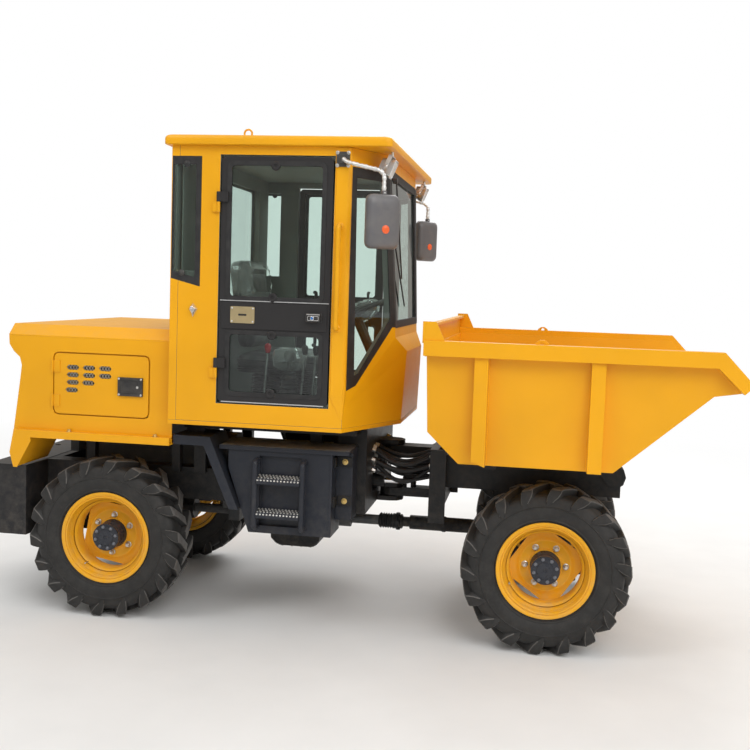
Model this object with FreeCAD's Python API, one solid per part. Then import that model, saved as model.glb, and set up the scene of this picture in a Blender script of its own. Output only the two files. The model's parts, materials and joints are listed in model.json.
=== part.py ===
import FreeCAD, Part
import math
import os

os.makedirs("parts", exist_ok=True)
V = FreeCAD.Vector

# All sizes in millimetres. +X forward, +Y to the left, +Z up, ground at Z 0.
# Drawing X is measured from the middle of the wheelbase and shifted by SHIFT_X on export,
# so that the origin lies in the middle of the footprint.

# Wheels
WHEELBASE = 2124.0
AXLE_Z = 390.0
X_REAR = -WHEELBASE / 2
X_FRONT = WHEELBASE / 2
TYRE_R = 390.0
TYRE_Y = 566.0
TYRE_W = 216.0
FLANGE_R = 225.0
FLANGE_RISE = 22.0
BEAD_R = FLANGE_R - FLANGE_RISE
FLANGE_Y = 655.0
STUB_R = 30.0

REAR_END = X_REAR - 618.0
LIP_END = X_FRONT + 810.0
SHIFT_X = -(REAR_END + LIP_END) / 2

# Articulation and skip hinge
PIVOT_X = 250.0
TIP_X = X_FRONT + 300.0
TIP_Z = 790.0
PIVOT_PIN = 30.0
TIP_PIN = 20.0

# Cylinders: pin places, pin radii and the play in the eye of the rod
STEER_BASE = (-50.0, -165.0, 670.0)
STEER_EYE = (365.0, -160.0, 670.0)
STEER_PIN = 12.0
STEER_PLAY = 12.0
RAM_BASE = (TIP_X - 162.0, 0.0, 520.0)
RAM_EYE = (TIP_X - 232.0, 0.0, 825.0)
RAM_PIN = 14.0
RAM_PLAY = 12.0

# Cab
CAB_Y = 775.0
CAB_X0 = -705.0
CAB_X1 = 120.0
CAB_Z0 = 988.0
CAB_Z1 = 2268.0
WALL = 38.0
FLOOR = 20.0
ROOF_T = 46.0
ROOF_Z = CAB_Z1 + ROOF_T

AX_X, AX_Y, AX_Z = V(1, 0, 0), V(0, 1, 0), V(0, 0, 1)


def box(x0, x1, y0, y1, z0, z1):
    return Part.makeBox(x1 - x0, y1 - y0, z1 - z0, V(x0, y0, z0))


def rod(a, b, r):
    a, b = V(*a), V(*b)
    return Part.makeCylinder(r, (b - a).Length, a, b - a)


def face(points):
    return Part.Face(Part.makePolygon([V(*p) for p in points] + [V(*points[0])]))


def bar(a, b, r, n=8):
    """A straight bar with n flats, r out to its corners."""
    a, b = V(*a), V(*b)
    d = (b - a).normalize()
    u = d.cross(AX_Y if abs(d.y) < 0.9 else AX_X).normalize()
    w = d.cross(u)
    turns = [2 * math.pi * (i + 0.5) / n for i in range(n)]
    ring = [a + u * (r * math.cos(t)) + w * (r * math.sin(t)) for t in turns]
    return Part.Face(Part.makePolygon(ring + [ring[0]])).extrude(b - a)


def bore(a, b, r, n=10):
    """The tool for a running bore around a pin of radius r: its flats clear the pin."""
    return bar(a, b, (r + 0.05) / math.cos(math.pi / n), n)


def closed(faces):
    solid = Part.makeSolid(Part.makeShell(faces))
    if solid.Volume < 0:
        solid.reverse()
    return solid


def turned(rows, n):
    """A solid turned about the Y axis with n flats, through rows of (y, radius at the corners)."""
    turns = [2 * math.pi * i / n for i in range(n)]
    rings = [[(r * math.cos(t), y, r * math.sin(t)) for t in turns] for y, r in rows]
    faces = [face(rings[0]), face(rings[-1])]
    for a, b in zip(rings, rings[1:]):
        for i in range(n):
            j = (i + 1) % n
            faces.append(face([a[i], a[j], b[j], b[i]]))
    return closed(faces)


def side(points, y0, y1):
    """A prism from (x, z) points, from y0 to y1."""
    return face([(x, y0, z) for x, z in points]).extrude(V(0, y1 - y0, 0))


def plan(points, z0, z1):
    """A prism from (x, y) points, from z0 to z1."""
    return face([(x, y, z0) for x, y in points]).extrude(V(0, 0, z1 - z0))


def front(points, x0, x1):
    """A prism from (y, z) points, from x0 to x1."""
    return face([(x0, y, z) for y, z in points]).extrude(V(x1 - x0, 0, 0))


def fuse(shapes):
    out = shapes[0]
    if len(shapes) > 1:
        out = out.multiFuse(shapes[1:])
    return out.removeSplitter()


def mirror(shape):
    return shape.mirror(V(0, 0, 0), V(0, 1, 0))


def both(shape):
    return [shape, mirror(shape)]


def rounded(shape, r, pick):
    edges = [e for e in shape.Edges if pick(e)]
    return shape.makeFillet(r, edges)


def along(edge, axis):
    if edge.Curve.TypeId != "Part::GeomLine":
        return False
    d = edge.Vertexes[1].Point - edge.Vertexes[0].Point
    if d.Length < 1e-6:
        return False
    return abs(abs(d.getAngle(axis)) % math.pi) < 1e-3 or abs(abs(d.getAngle(axis)) - math.pi) < 1e-3


def fillet_along(shape, r, axis):
    return rounded(shape, r, lambda e: along(e, axis))


def chamfer_along(shape, r, axis):
    return shape.makeChamfer(r, [e for e in shape.Edges if along(e, axis)])


def save(name, shape):
    shape = shape.copy()
    shape.translate(V(SHIFT_X, 0, 0))
    shape.exportStep("parts/%s.step" % name)


def group(shapes):
    solids = []
    for s in shapes:
        solids.extend(s.Solids)
    return Part.makeCompound(solids)


# Tyres and rims, drawn on the Y axis at the origin with the outer face toward -Y

LUGS = 18
TYRE_FLATS = LUGS
RIM_FLATS = LUGS
BEAD_GAP = 0.6
FLANGE_T = 6.0


LUG_LEAN = 7.5


def lug_shape(sgn):
    """One slanted bar from the shoulder to past the middle, square to the tread halfway along."""
    w = TYRE_W / 2
    y0, y1 = sgn * (w - 5), -sgn * 9
    end = face([(-44, y0, 318), (-12, y0, 318), (-12, y0, 372), (-44, y0, 372)])
    lug = end.extrude(V(60, y1 - y0, 14))
    lug.rotate(V(0, 0, 0), V(0, 1, 0), LUG_LEAN)
    return lug


def tyre_shape():
    w = TYRE_W / 2
    seat = FLANGE_Y - TYRE_Y - FLANGE_T - 1
    body = turned([
        (-seat, FLANGE_R + 4), (-w, (FLANGE_R + TYRE_R) / 2 - 20), (-w + 28, TYRE_R - 32),
        (w - 28, TYRE_R - 32), (w, (FLANGE_R + TYRE_R) / 2 - 20), (seat, FLANGE_R + 4),
    ], TYRE_FLATS)
    lugs = []
    for i in range(LUGS):
        for sgn, start in ((-1, 0.0), (1, 0.5)):
            one = lug_shape(sgn)
            one.rotate(V(0, 0, 0), V(0, 1, 0), 360.0 / LUGS * (i + start) + 2)
            lugs.append(one)
    body = body.multiFuse(lugs)
    return body.cut(turned([(-w, BEAD_R + BEAD_GAP), (w, BEAD_R + BEAD_GAP)], RIM_FLATS))


def rim_shape():
    w = FLANGE_Y - TYRE_Y
    parts = [turned([(-w + FLANGE_T, BEAD_R), (w - FLANGE_T, BEAD_R)], RIM_FLATS)]
    for y in (-w, w - FLANGE_T):
        parts.append(turned([(y, FLANGE_R), (y + FLANGE_T, FLANGE_R)], RIM_FLATS))
    ring = fuse(parts).cut(turned([
        (-w - 1, BEAD_R - 6), (-w + 52, BEAD_R - 38), (w + 1, BEAD_R - 38),
    ], RIM_FLATS))
    disc_y = -w + 112
    disc = turned([(disc_y, BEAD_R - 36), (disc_y + 10, BEAD_R - 36)], RIM_FLATS)
    for i in range(4):
        cut = box(BEAD_R - 62, BEAD_R, disc_y - 5, disc_y + 20, -60, 60)
        cut.rotate(V(0, 0, 0), V(0, 1, 0), 45 + 90 * i)
        disc = disc.cut(cut)
    hub = turned([(disc_y - 114, 58), (disc_y - 104, 68), (disc_y, 72)], 12)
    wheel = fuse([ring, disc, hub])
    return wheel.cut(bore((0, disc_y - 60, 0), (0, disc_y + 12, 0), STUB_R, 8))


TYRE = tyre_shape()
RIM = rim_shape()
WHEELS = (
    # name, x, side (-1 right, 1 left)
    ("front_right", X_FRONT, -1),
    ("front_left", X_FRONT, 1),
    ("rear_right", X_REAR, -1),
    ("rear_left", X_REAR, 1),
)
for name, x, sgn in WHEELS:
    for kind, shape in (("tyre", TYRE), ("rim", RIM)):
        s = shape.copy()
        if sgn > 0:
            s = mirror(s)
        s.translate(V(x, sgn * TYRE_Y, AXLE_Z))
        save("%s_%s" % (kind, name), s)

# Axles: housing, knuckle ends that stop short of the wheel discs

DISC_Y = FLANGE_Y - 112
SHAFT_Z = 425.0
BEAM_Y = 370.0
RAIL_Y = 310.0


def axle(x, nose, beam_y):
    parts = [
        bar((x, -DISC_Y + 15, AXLE_Z), (x, DISC_Y - 15, AXLE_Z), 46),
        rod((x, -DISC_Y - 50, AXLE_Z), (x, DISC_Y + 50, AXLE_Z), STUB_R),
        bar((x, -120, AXLE_Z), (x, 120, AXLE_Z), 128, 10),
        bar((x, 0, SHAFT_Z), (x + nose, 0, SHAFT_Z), 62),
    ]
    for sgn in (-1, 1):
        parts.append(bar((x, sgn * 380, AXLE_Z), (x, sgn * (DISC_Y - 15), AXLE_Z), 82))
        parts.append(box(x - 60, x + 60, sgn * beam_y - 45, sgn * beam_y + 45, AXLE_Z - 20, AXLE_Z + 90))
    return fuse(parts)


save("rear_axle", axle(X_REAR, 240, BEAM_Y))
save("front_axle", axle(X_FRONT, -240, RAIL_Y))

HOOD_Y = 700.0
SHELF_Z = 884.0

# Rear frame: two beams, cross members, cab mounts and hood posts

BEAM_Z0, BEAM_Z1 = 560.0, 720.0
HOOD_X1 = CAB_X0 - 7.0
POST = 44.0
TOWER_X = 184.0
TOWER_Y = 438.0


def rear_frame():
    parts = []
    for sgn in (-1, 1):
        y = sgn * BEAM_Y
        parts.append(box(X_REAR - 418, 150, y - 40, y + 40, BEAM_Z0, BEAM_Z1))
        parts.append(box(X_REAR - 60, X_REAR + 60, y - 40, y + 40, AXLE_Z + 90, BEAM_Z0 + 10))
        parts.append(box(-700, 150, *sorted((sgn * 400, sgn * 560)), 945, CAB_Z0))
        for x in (-690, -100):
            parts.append(box(x, x + 60, *sorted((sgn * 390, sgn * TOWER_Y)), 700, CAB_Z0))
        for x in (X_REAR - 193, HOOD_X1 - 94):
            parts.append(box(x, x + POST, *sorted((sgn * 400, sgn * 442)), 700, SHELF_Z - 8))
    parts.append(box(X_REAR - 418, X_REAR - 378, -350, 350, BEAM_Z0, BEAM_Z1))
    parts.append(box(-690, -630, -350, 350, 540, 596))
    # lugs and pin of the steering cylinder, carried by the right-hand beam
    bx, by, bz = STEER_BASE
    for z0, z1 in STEER_LUGS:
        parts.append(box(bx - 35, bx + 35, -BEAM_Y + 30, by + 36, z0, z1))
    parts.append(bar((bx, by, STEER_LUGS[0][0]), (bx, by, STEER_LUGS[1][1]), STEER_PIN, 12))
    return fuse(parts)


STEER_LUGS = ((628, 644), (696, 712))
save("rear_frame", rear_frame())

# Front tower of the rear body: a plate with a passage for the cylinder, and the pivot forks


def pivot_tower():
    parts = []
    for sgn in (-1, 1):
        parts.append(box(40, TOWER_X - 34, *sorted((sgn * (TOWER_Y - 16), sgn * TOWER_Y)), 545, 945))
    plate = box(TOWER_X - 34, TOWER_X, -TOWER_Y, TOWER_Y, 545, CAB_Z0)
    parts.append(plate.cut(box(TOWER_X - 40, TOWER_X + 10, STEER_BASE[1] - 62, -96, 612, 728)))
    # forks around the pivot eyes of the front body, and their pins
    for z0, z1 in ((545, 569), (617, 641), (768, 792), (840, 864)):
        parts.append(box(TOWER_X - 14, PIVOT_X, -66, 66, z0, z1))
        parts.append(bar((PIVOT_X, 0, z0), (PIVOT_X, 0, z1), 66, 10))
    for z0, z1, pin in ((545, 641, bar), (768, 864, rod)):
        parts.append(pin((PIVOT_X, 0, z0), (PIVOT_X, 0, z1), PIVOT_PIN))
    return fuse(parts)


save("pivot_tower", pivot_tower())

# Counterweight
TOW_X = REAR_END + 50.0
TOW_R = 16.0
CW_Z0, CW_Z1 = 372.0, 722.0
cw_plan = [
    (REAR_END, -560), (REAR_END + 40, -640), (X_REAR - 420, -640), (X_REAR - 404, -440), (X_REAR - 198, -430),
    (X_REAR - 198, 430), (X_REAR - 404, 440), (X_REAR - 420, 640), (REAR_END + 40, 640), (REAR_END, 560),
]
cw = plan(cw_plan, CW_Z0, CW_Z1)
cw = cw.cut(box(X_REAR - 419, X_REAR - 128, -BEAM_Y - 41, BEAM_Y + 41, BEAM_Z0, CW_Z1 + 8))
# towing jaw with the hole for a stranger's pin
cw = cw.cut(box(REAR_END - 10, REAR_END + 100, -70, 70, 500, 590))
cw = cw.cut(rod((TOW_X, 0, CW_Z0 - 50), (TOW_X, 0, CW_Z1 + 50), TOW_R))
save("counterweight", cw)

# Hood: sheet shell with bevelled shoulders and a stepped back, side sheets and fenders apart
HOOD_T = 5.0
HOOD_Z = 1420.0
BEVEL_Z = 1370.0
BEVEL_W = 60.0
HOOD_BACK = (
    # x from the rear axle, z
    (-478, 1322), (-455, 1287), (-424, 1260), (-414, 1221), (-424, 1138), (-458, 880),
)


def hood_hull(t, z0):
    prof = [(X_REAR - 483 + t, HOOD_Z - t)] + [(X_REAR + dx + t, z) for dx, z in HOOD_BACK]
    prof += [(HOOD_X1, 880), (HOOD_X1, HOOD_Z - t)]
    y, slant = HOOD_Y - t, t * 0.6
    sect = [
        (-y, z0), (-y, BEVEL_Z - slant), (-HOOD_Y + BEVEL_W + slant, HOOD_Z - t),
        (HOOD_Y - BEVEL_W - slant, HOOD_Z - t), (y, BEVEL_Z - slant), (y, z0),
    ]
    return side(prof, -800, 800).common(front(sect, X_REAR - 600, HOOD_X1 + 10))


LID = (X_REAR - 246.0, HOOD_X1 - 119.0, 997.0, 1288.0)
LID_GAP = 6.0


def rounded_rect(x0, x1, z0, z1, r, y0, y1):
    """A slab with its corners cut in two flats."""
    pts = []
    for cx, cz, start in ((x1 - r, z0 + r, 270), (x1 - r, z1 - r, 0), (x0 + r, z1 - r, 90), (x0 + r, z0 + r, 180)):
        for k in range(3):
            t = math.radians(start + 45 * k)
            pts.append((cx + r * math.cos(t), cz + r * math.sin(t)))
    return side(pts, y0, y1)


def grown(rect, d, r, y0, y1):
    return rounded_rect(rect[0] - d, rect[1] + d, rect[2] - d, rect[3] + d, r, *sorted((y0, y1)))


def hood_parts():
    core = hood_hull(HOOD_T, 700)
    core = core.fuse(box(X_REAR - 600, HOOD_X1 + 10, -HOOD_Y + HOOD_T, HOOD_Y - HOOD_T, 870, SHELF_Z))
    core = core.fuse(box(-1000, HOOD_X1 + 10, -HOOD_Y + HOOD_T, HOOD_Y - HOOD_T, 870, BEVEL_Z - 6))
    shell = hood_hull(0, SHELF_Z).cut(core)
    sheets = []
    for sgn in (-1, 1):
        band = sorted((sgn * (HOOD_Y - HOOD_T), sgn * HOOD_Y))
        slab = box(X_REAR - 600, HOOD_X1 + 10, *band, SHELF_Z, BEVEL_Z - 6)
        sheet = shell.common(slab)
        shell = shell.cut(slab)
        y_out, y_in = sgn * HOOD_Y, sgn * (HOOD_Y - HOOD_T)
        parts = [sheet.cut(grown(LID, LID_GAP, 26, y_out + sgn * 10, y_in - sgn * 5))]
        # a turned-in frame behind the lid
        for d0, d1, hole in ((0, 8, LID_GAP), (8, 12, -14)):
            ring = grown(LID, 20, 30, y_in - sgn * d0, y_in - sgn * d1)
            parts.append(ring.cut(grown(LID, hole, 22, y_in + sgn * 5, y_in - sgn * (d1 + 5))))
        sheets.append(fuse(parts))
    return shell, sheets


FENDER_Y = 735.0


def fender(sgn):
    """A shelf with its rear flap, outer lip and skirt."""
    x_back = X_REAR - 354
    y0, y1 = sorted((sgn * 400, sgn * FENDER_Y))
    skin = sorted((sgn * (FENDER_Y - 4), sgn * FENDER_Y))
    return fuse([
        box(x_back, HOOD_X1, y0, y1, SHELF_Z - 8, SHELF_Z),
        side([(x_back - 4, 884), (x_back + 4, 876), (x_back - 74, 728), (x_back - 82, 734)], y0, y1),
        side([
            (x_back - 84, 905), (x_back - 4, 905), (x_back + 6, 860), (x_back - 64, 728), (x_back - 84, 728),
            (x_back - 104, 800),
        ], *skin),
        box(x_back - 4, HOOD_X1, *skin, SHELF_Z - 8, SHELF_Z + 28),
        box(x_back - 84, HOOD_X1, *sorted((sgn * HOOD_Y, sgn * FENDER_Y)), SHELF_Z + 21, SHELF_Z + 28),
    ])


top, sheets = hood_parts()
save("hood", top)
save("hood_side_right", sheets[0])
save("hood_side_left", sheets[1])
save("fender_right", fender(-1))
save("fender_left", fender(1))

VENTS = (
    # rear end and front end from the lid's rear edge, z of the middle
    (54, 300, 1222), (54, 300, 1186), (54, 212, 1150), (54, 126, 1113),
)


def lid():
    y0, y1 = -HOOD_Y, -HOOD_Y + 5
    plate = rounded_rect(LID[0], LID[1], LID[2], LID[3], 22, y0, y1)
    for d0, d1, z in VENTS:
        plate = plate.cut(box(LID[0] + d0, LID[0] + d1, y0 - 5, y1 + 5, z - 12, z + 12))
    latch = box(LID[1] - 151, LID[1] - 27, y0 - 8, y0, 1097, 1186)
    knuckles = []
    for z, knuckle in ((1060, rod), (1225, bar)):
        knuckles.append(knuckle((LID[0] - 6, y0 - 8, z - 30), (LID[0] - 6, y0 - 8, z + 30), 6))
        knuckles.append(box(LID[0] - 6, LID[0] + 30, y0 - 5, y0, z - 28, z + 28))
    return fuse([plate, latch] + knuckles)


LID_R = lid()
save("hood_lid_right", LID_R)
save("hood_lid_left", mirror(LID_R))

# Engine and gearbox
engine = fuse([
    box(X_REAR - 318, HOOD_X1 - 48, -190, 190, 600, 1060),
    box(X_REAR - 278, HOOD_X1 - 88, -120, 120, 1060, 1230),
    box(X_REAR - 368, X_REAR - 323, -260, 260, 740, 1240),
    box(X_REAR - 338, X_REAR - 308, -100, 100, 800, 1000),
])
save("engine_block", engine)
gear = fuse([
    box(-620, -100, -170, 170, 470, 800),
    box(-336, -110, -200, 150, 362, 480),
    bar((-110, 0, SHAFT_Z), (222, 0, SHAFT_Z), 26, 12),
    bar((-110, 0, SHAFT_Z), (40, 0, SHAFT_Z), 46, 12),
    bar((X_REAR + 240, 0, SHAFT_Z), (-600, 0, SHAFT_Z), 24, 12),
    box(-620, -560, -60, 60, 380, 480),
    box(HOOD_X1 - 48, -610, -140, 140, 600, 830),
])
save("gearbox", gear)

# Cab hull: lower body with a blunt nose, leaning windscreen, straight sides

# The chamfered corners are flat, so their front edge spreads as the front leans back.
LOW_SLOPE = 225.0 / 475.0
HIGH_SLOPE = 182.0 / 359.0
NOSE = [
    # z at the sides, z at the front, x of the front, half width of the front
    (z_side, z_front, xf, CAB_Y - (xf - CAB_X1) / slope)
    for z_side, z_front, xf, slope in (
        (CAB_Z0, CAB_Z0, 330.0, LOW_SLOPE),
        (1085.0, 1345.0, 345.0, LOW_SLOPE),
        (1110.0, 1415.0, 302.0, HIGH_SLOPE),
        (CAB_Z1, CAB_Z1, 252.0, HIGH_SLOPE),
    )
]


def hull_ring(row, t):
    z_side, z_front, xf, hw = row
    dx, dy = xf - CAB_X1, CAB_Y - hw
    n = math.hypot(dx, dy)
    x_side = CAB_X1 - t * (n - dx) / dy
    y_front = hw - t * (n - dy) / dx
    x_front = xf - t
    y_side = CAB_Y - t
    x_back = CAB_X0 + t
    return [
        (x_back, -y_side, z_side), (x_side, -y_side, z_side), (x_front, -y_front, z_front),
        (x_front, y_front, z_front), (x_side, y_side, z_side), (x_back, y_side, z_side),
    ]


def faces_between(a, b):
    out = []
    n = len(a)
    for i in range(n):
        j = (i + 1) % n
        quad = [a[i], a[j], b[j], b[i]]
        u = V(*quad[1]) - V(*quad[0])
        w = V(*quad[2]) - V(*quad[0])
        off = u.cross(w).normalize().dot(V(*quad[3]) - V(*quad[0]))
        if abs(off) < 1e-3:
            out.append(face(quad))
        elif i < n // 2:
            out.append(face([a[i], a[j], b[j]]))
            out.append(face([a[i], b[j], b[i]]))
        else:
            out.append(face([a[i], a[j], b[i]]))
            out.append(face([a[j], b[j], b[i]]))
    return out


def hull(t, z_low, z_high):
    rings = [hull_ring(row, t) for row in NOSE]
    rings[0] = [(x, y, z_low) for x, y, z in rings[0]]
    rings[-1] = [(x, y, z_high) for x, y, z in rings[-1]]
    faces = [face(rings[0]), face(rings[-1])]
    for a, b in zip(rings, rings[1:]):
        faces += faces_between(a, b)
    return closed(faces)


DOOR = (-467.0, 49.0, 1103.0, 2221.0)
GAP = 7.0


def on_chamfer(points, depth, out=0.0):
    """A slab on the right-hand chamfer above the nose: points are (share of its width, z)."""
    low, high = NOSE[2], NOSE[3]
    pts = []
    for u, z in points:
        k = (z - low[1]) / (high[1] - low[1])
        xf = low[2] + (high[2] - low[2]) * k
        hw = low[3] + (high[3] - low[3]) * k
        pts.append((CAB_X1 + (xf - CAB_X1) * u, -CAB_Y + (CAB_Y - hw) * u, z))
    n = V(CAB_Y - low[3], -(low[2] - CAB_X1), 0).normalize()
    f = face(pts)
    f.translate(n * out)
    return f.extrude(n * -depth)


QUARTER = ((0.06, 2185), (0.95, 2185), (0.95, 1470), (0.86, 1440), (0.22, 1200), (0.06, 1180))
QUARTER_HOLE = ((0.11, 2168), (0.91, 2168), (0.91, 1490), (0.85, 1462), (0.24, 1228), (0.11, 1208))


def cab_shell():
    shell = hull(0, CAB_Z0, CAB_Z1)
    core = hull(WALL, CAB_Z0 + FLOOR, CAB_Z1 + 1)
    shell = shell.cut(core)
    cuts = []
    for sgn in (-1, 1):
        y0, y1 = sorted((sgn * 700, sgn * 800))
        cuts.append(box(DOOR[0] - GAP, DOOR[1] + GAP, y0, y1, DOOR[2] - GAP, DOOR[3] + GAP))
        cuts.append(box(-680, -584, y0, y1, 1700, 2192))
        y0, y1 = sorted((sgn * (CAB_Y - 6), sgn * 800))
        cuts.append(side([(-701, 1664), (-701, 2219), (-563, 2219), (-563, 1630)], y0, y1))
        q = on_chamfer(QUARTER_HOLE, 100, 40)
        p = on_chamfer(QUARTER, 46, 40)
        if sgn > 0:
            q, p = mirror(q), mirror(p)
        cuts += [q, p]
    # windscreen and back window
    cuts.append(front([(-400, 1470), (400, 1470), (460, 2200), (-460, 2200)], 200, 500))
    cuts.append(box(-760, -640, -560, 560, 1470, 2190))
    for c in cuts:
        shell = shell.cut(c)
    return shell


def cab_panels():
    """The shell split where its floor, back, sides and nose are welded together."""
    shell = cab_shell()
    z = CAB_Z0 + FLOOR
    walls = (
        ("cab_floor", box(CAB_X0, 500, -800, 800, CAB_Z0, z)),
        ("cab_back", box(CAB_X0, CAB_X0 + WALL, -800, 800, z, CAB_Z1)),
        ("cab_side_right", box(CAB_X0 + WALL, CAB_X1, -800, 0, z, CAB_Z1)),
        ("cab_side_left", box(CAB_X0 + WALL, CAB_X1, 0, 800, z, CAB_Z1)),
        ("cab_nose", box(CAB_X1, 500, -800, 800, z, CAB_Z1)),
    )
    for name, region in walls:
        save(name, shell.common(region).removeSplitter())


cab_panels()


def cab_glass():
    panes = []
    for sgn in (-1, 1):
        y0, y1 = sorted((sgn * (CAB_Y - 6), sgn * (CAB_Y - 1)))
        panes.append(side([(-700, 1665), (-700, 2218), (-564, 2218), (-564, 1631)], y0, y1))
        q = on_chamfer(QUARTER, 5, -1)
        panes.append(mirror(q) if sgn > 0 else q)
    low, high = NOSE[2], NOSE[3]
    lean = (high[2] - low[2]) / (high[1] - low[1])
    z0, z1 = 1400, CAB_Z1 + 32
    x0, x1 = [low[2] + lean * (z - low[1]) for z in (z0, z1)]
    slab = side([(x0 - 8, z0), (x1 - 8, z1), (x1 - 14, z1), (x0 - 14, z0)], -500, 500)
    panes.append(slab.common(front([(-400, 1470), (400, 1470), (460, 2200), (-460, 2200)], 200, 500)))
    panes.append(box(-698, -692, -560, 560, 1470, 2190))
    return group(panes)


save("cab_glass", cab_glass())

# Roof
roof = chamfer_along(box(-738, 313, -805, 805, CAB_Z1, ROOF_Z), 24, AX_Z)
roof = roof.makeChamfer(12, [e for e in roof.Edges if e.BoundBox.ZMin > ROOF_Z - 1])
roof_parts = [roof]
for sgn in (-1, 1):
    c = (-370, sgn * 700, ROOF_Z + 19)
    eye = bar((c[0], c[1] - 4, c[2]), (c[0], c[1] + 4, c[2]), 23, 10)
    eye = eye.cut(bar((c[0], c[1] - 5, c[2]), (c[0], c[1] + 5, c[2]), 14, 6))
    roof_parts.append(eye)
    roof_parts.append(bar((c[0], c[1], ROOF_Z - 5), (c[0], c[1], ROOF_Z + 3), 8))
save("cab_roof", fuse(roof_parts))

# Doors, hinged at their rear edge
HINGE_X, HINGE_Y = DOOR[0] - 11.0, -CAB_Y - 9.0
HINGE_PIN = 4.0
HINGE_Z = (1260.0, 2015.0)


def door():
    y0, y1 = -CAB_Y, -CAB_Y + 36
    leaf = box(DOOR[0], DOOR[1], y0, y1, DOOR[2], DOOR[3])
    leaf = chamfer_along(leaf, 14, AX_Y)
    leaf = leaf.cut(box(-431, 12, y0 - 5, y1 + 5, 1580, 2192))
    leaf = leaf.cut(box(-427, 14, y0 - 5, y1 + 5, 1142, 1428))
    parts = [leaf]
    for z in HINGE_Z:
        # the door's half sits on top and lifts off
        knuckle = bar((HINGE_X, HINGE_Y, z + 1), (HINGE_X, HINGE_Y, z + 46), 9, 6)
        leaf_out = box(HINGE_X + 6, HINGE_X + 46, HINGE_Y - 5, HINGE_Y + 3, z + 1, z + 46)
        leaf_in = box(HINGE_X + 18, HINGE_X + 46, HINGE_Y - 5, y0, z + 1, z + 46)
        hole = bore((HINGE_X, HINGE_Y, z), (HINGE_X, HINGE_Y, z + 47), HINGE_PIN, 6)
        parts += [knuckle.cut(hole), leaf_out.cut(hole), leaf_in]
    parts.append(box(-50, 10, y0 - 30, y0 - 20, 1490, 1521))
    parts.append(box(-10, 10, y0 - 30, y0, 1490, 1521))
    parts.append(bar((-20, y1, 1500), (-20, y1 + 30, 1500), 12))
    return fuse(parts)


def door_glass():
    y = -CAB_Y
    return group([
        box(-431, 12, y + 10, y + 15, 1580, 2192),
        box(-427, 14, y + 10, y + 15, 1142, 1428),
    ])


DOOR_R = door()
GLASS_R = door_glass()
save("door_right", DOOR_R)
save("door_left", mirror(DOOR_R))
save("door_glass_right", GLASS_R)
save("door_glass_left", mirror(GLASS_R))

hinge_halves = []
for z, pin in zip(HINGE_Z, (rod, bar)):
    k = bar((HINGE_X, HINGE_Y, z - 45), (HINGE_X, HINGE_Y, z), 9, 6)
    k = k.fuse(box(HINGE_X - 28, HINGE_X, HINGE_Y - 2, -CAB_Y, z - 45, z))
    k = k.fuse(pin((HINGE_X, HINGE_Y, z), (HINGE_X, HINGE_Y, z + 44), HINGE_PIN))
    hinge_halves += both(k)
save("door_hinges", group(hinge_halves))

# Seat
seat = fuse([
    box(-520, -180, -190, 190, CAB_Z0 + FLOOR, 1180),
    box(-560, -140, -220, 220, 1180, 1215),
])
save("seat_base", seat)
cushion = chamfer_along(box(-560, -120, -230, 230, 1215.2, 1315), 30, AX_Z)
save("seat_cushion", cushion)
back = side([(-560, 1315.3), (-460, 1315.3), (-530, 1760), (-610, 1760)], -220, 220)
save("seat_back", back)

# Controls: floor column with the steering wheel, dash, levers
WHEEL_LEAN = 25.0
LEAN_S = math.sin(math.radians(WHEEL_LEAN))
LEAN_C = math.cos(math.radians(WHEEL_LEAN))
WHEEL_C = (26.0, 1510.0)
WHEEL_POST = (WHEEL_C[0] + 40 * LEAN_S, WHEEL_C[1] - 40 * LEAN_C)
dash = fuse([
    side([(150, CAB_Z0 + FLOOR), (250, CAB_Z0 + FLOOR), (250, 1330), (150, 1380)], -230, 230),
    bar((WHEEL_POST[0] + 300 * LEAN_S, 0, WHEEL_POST[1] - 300 * LEAN_C), (WHEEL_POST[0], 0, WHEEL_POST[1]), 26),
])
hoop = turned([(-11, 184), (0, 194), (11, 184)], 16)
hoop = hoop.cut(turned([(-12, 176), (0, 167), (12, 176)], 16))
hoop.rotate(V(0, 0, 0), AX_X, 90)
wheel_parts = [hoop, bar((0, 0, -40), (0, 0, 12), 32)]
for a in (90, 210, 330):
    t = math.radians(a)
    wheel_parts.append(bar((0, 0, 0), (176 * math.cos(t), 176 * math.sin(t), 0), 9, 4))
wheel = fuse(wheel_parts)
wheel.rotate(V(0, 0, 0), V(0, 1, 0), -WHEEL_LEAN)
wheel.translate(V(WHEEL_C[0], 0, WHEEL_C[1]))
save("steering_column", dash)
save("steering_wheel", wheel)
levers = []
for x, y in ((-250, -290), (-190, -300), (-130, -310)):
    stick = bar((x, y, CAB_Z0 + FLOOR + 2), (x + 20, y, 1330), 8, 6)
    knob = turned([(-20, 11), (0, 21), (18, 11)], 6)
    knob.rotate(V(0, 0, 0), AX_X, 90)
    knob.translate(V(x + 20, y, 1336))
    foot = box(x - 20, x + 20, y - 20, y + 20, CAB_Z0 + FLOOR, CAB_Z0 + FLOOR + 8)
    levers.append(fuse([stick, knob, foot]))
save("levers", group(levers))

# Steps with their boxes, mudguards, rails, mirrors, lamps


def step():
    parts = [
        box(-488, 142, -668, -440, 868, 886),
        side([(-445, 868), (-445, 780), (-340, 472), (60, 472), (60, 868)], -655, -450),
    ]
    for x in (-300, -72):
        parts.append(box(x - 10, x + 10, -715, -700, 500, 830))
        parts.append(box(x - 10, x + 10, -715, -655, 810, 830))
        parts.append(box(x - 10, x + 10, -715, -655, 500, 520))
    for z in (560, 722):
        parts.append(box(-300, -72, -715, -657, z, z + 26))
    parts.append(box(60, 140, -560, -438, 540, 868))
    return fuse(parts)


STEP = step()
save("step_right", STEP)
save("step_left", mirror(STEP))


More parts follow.
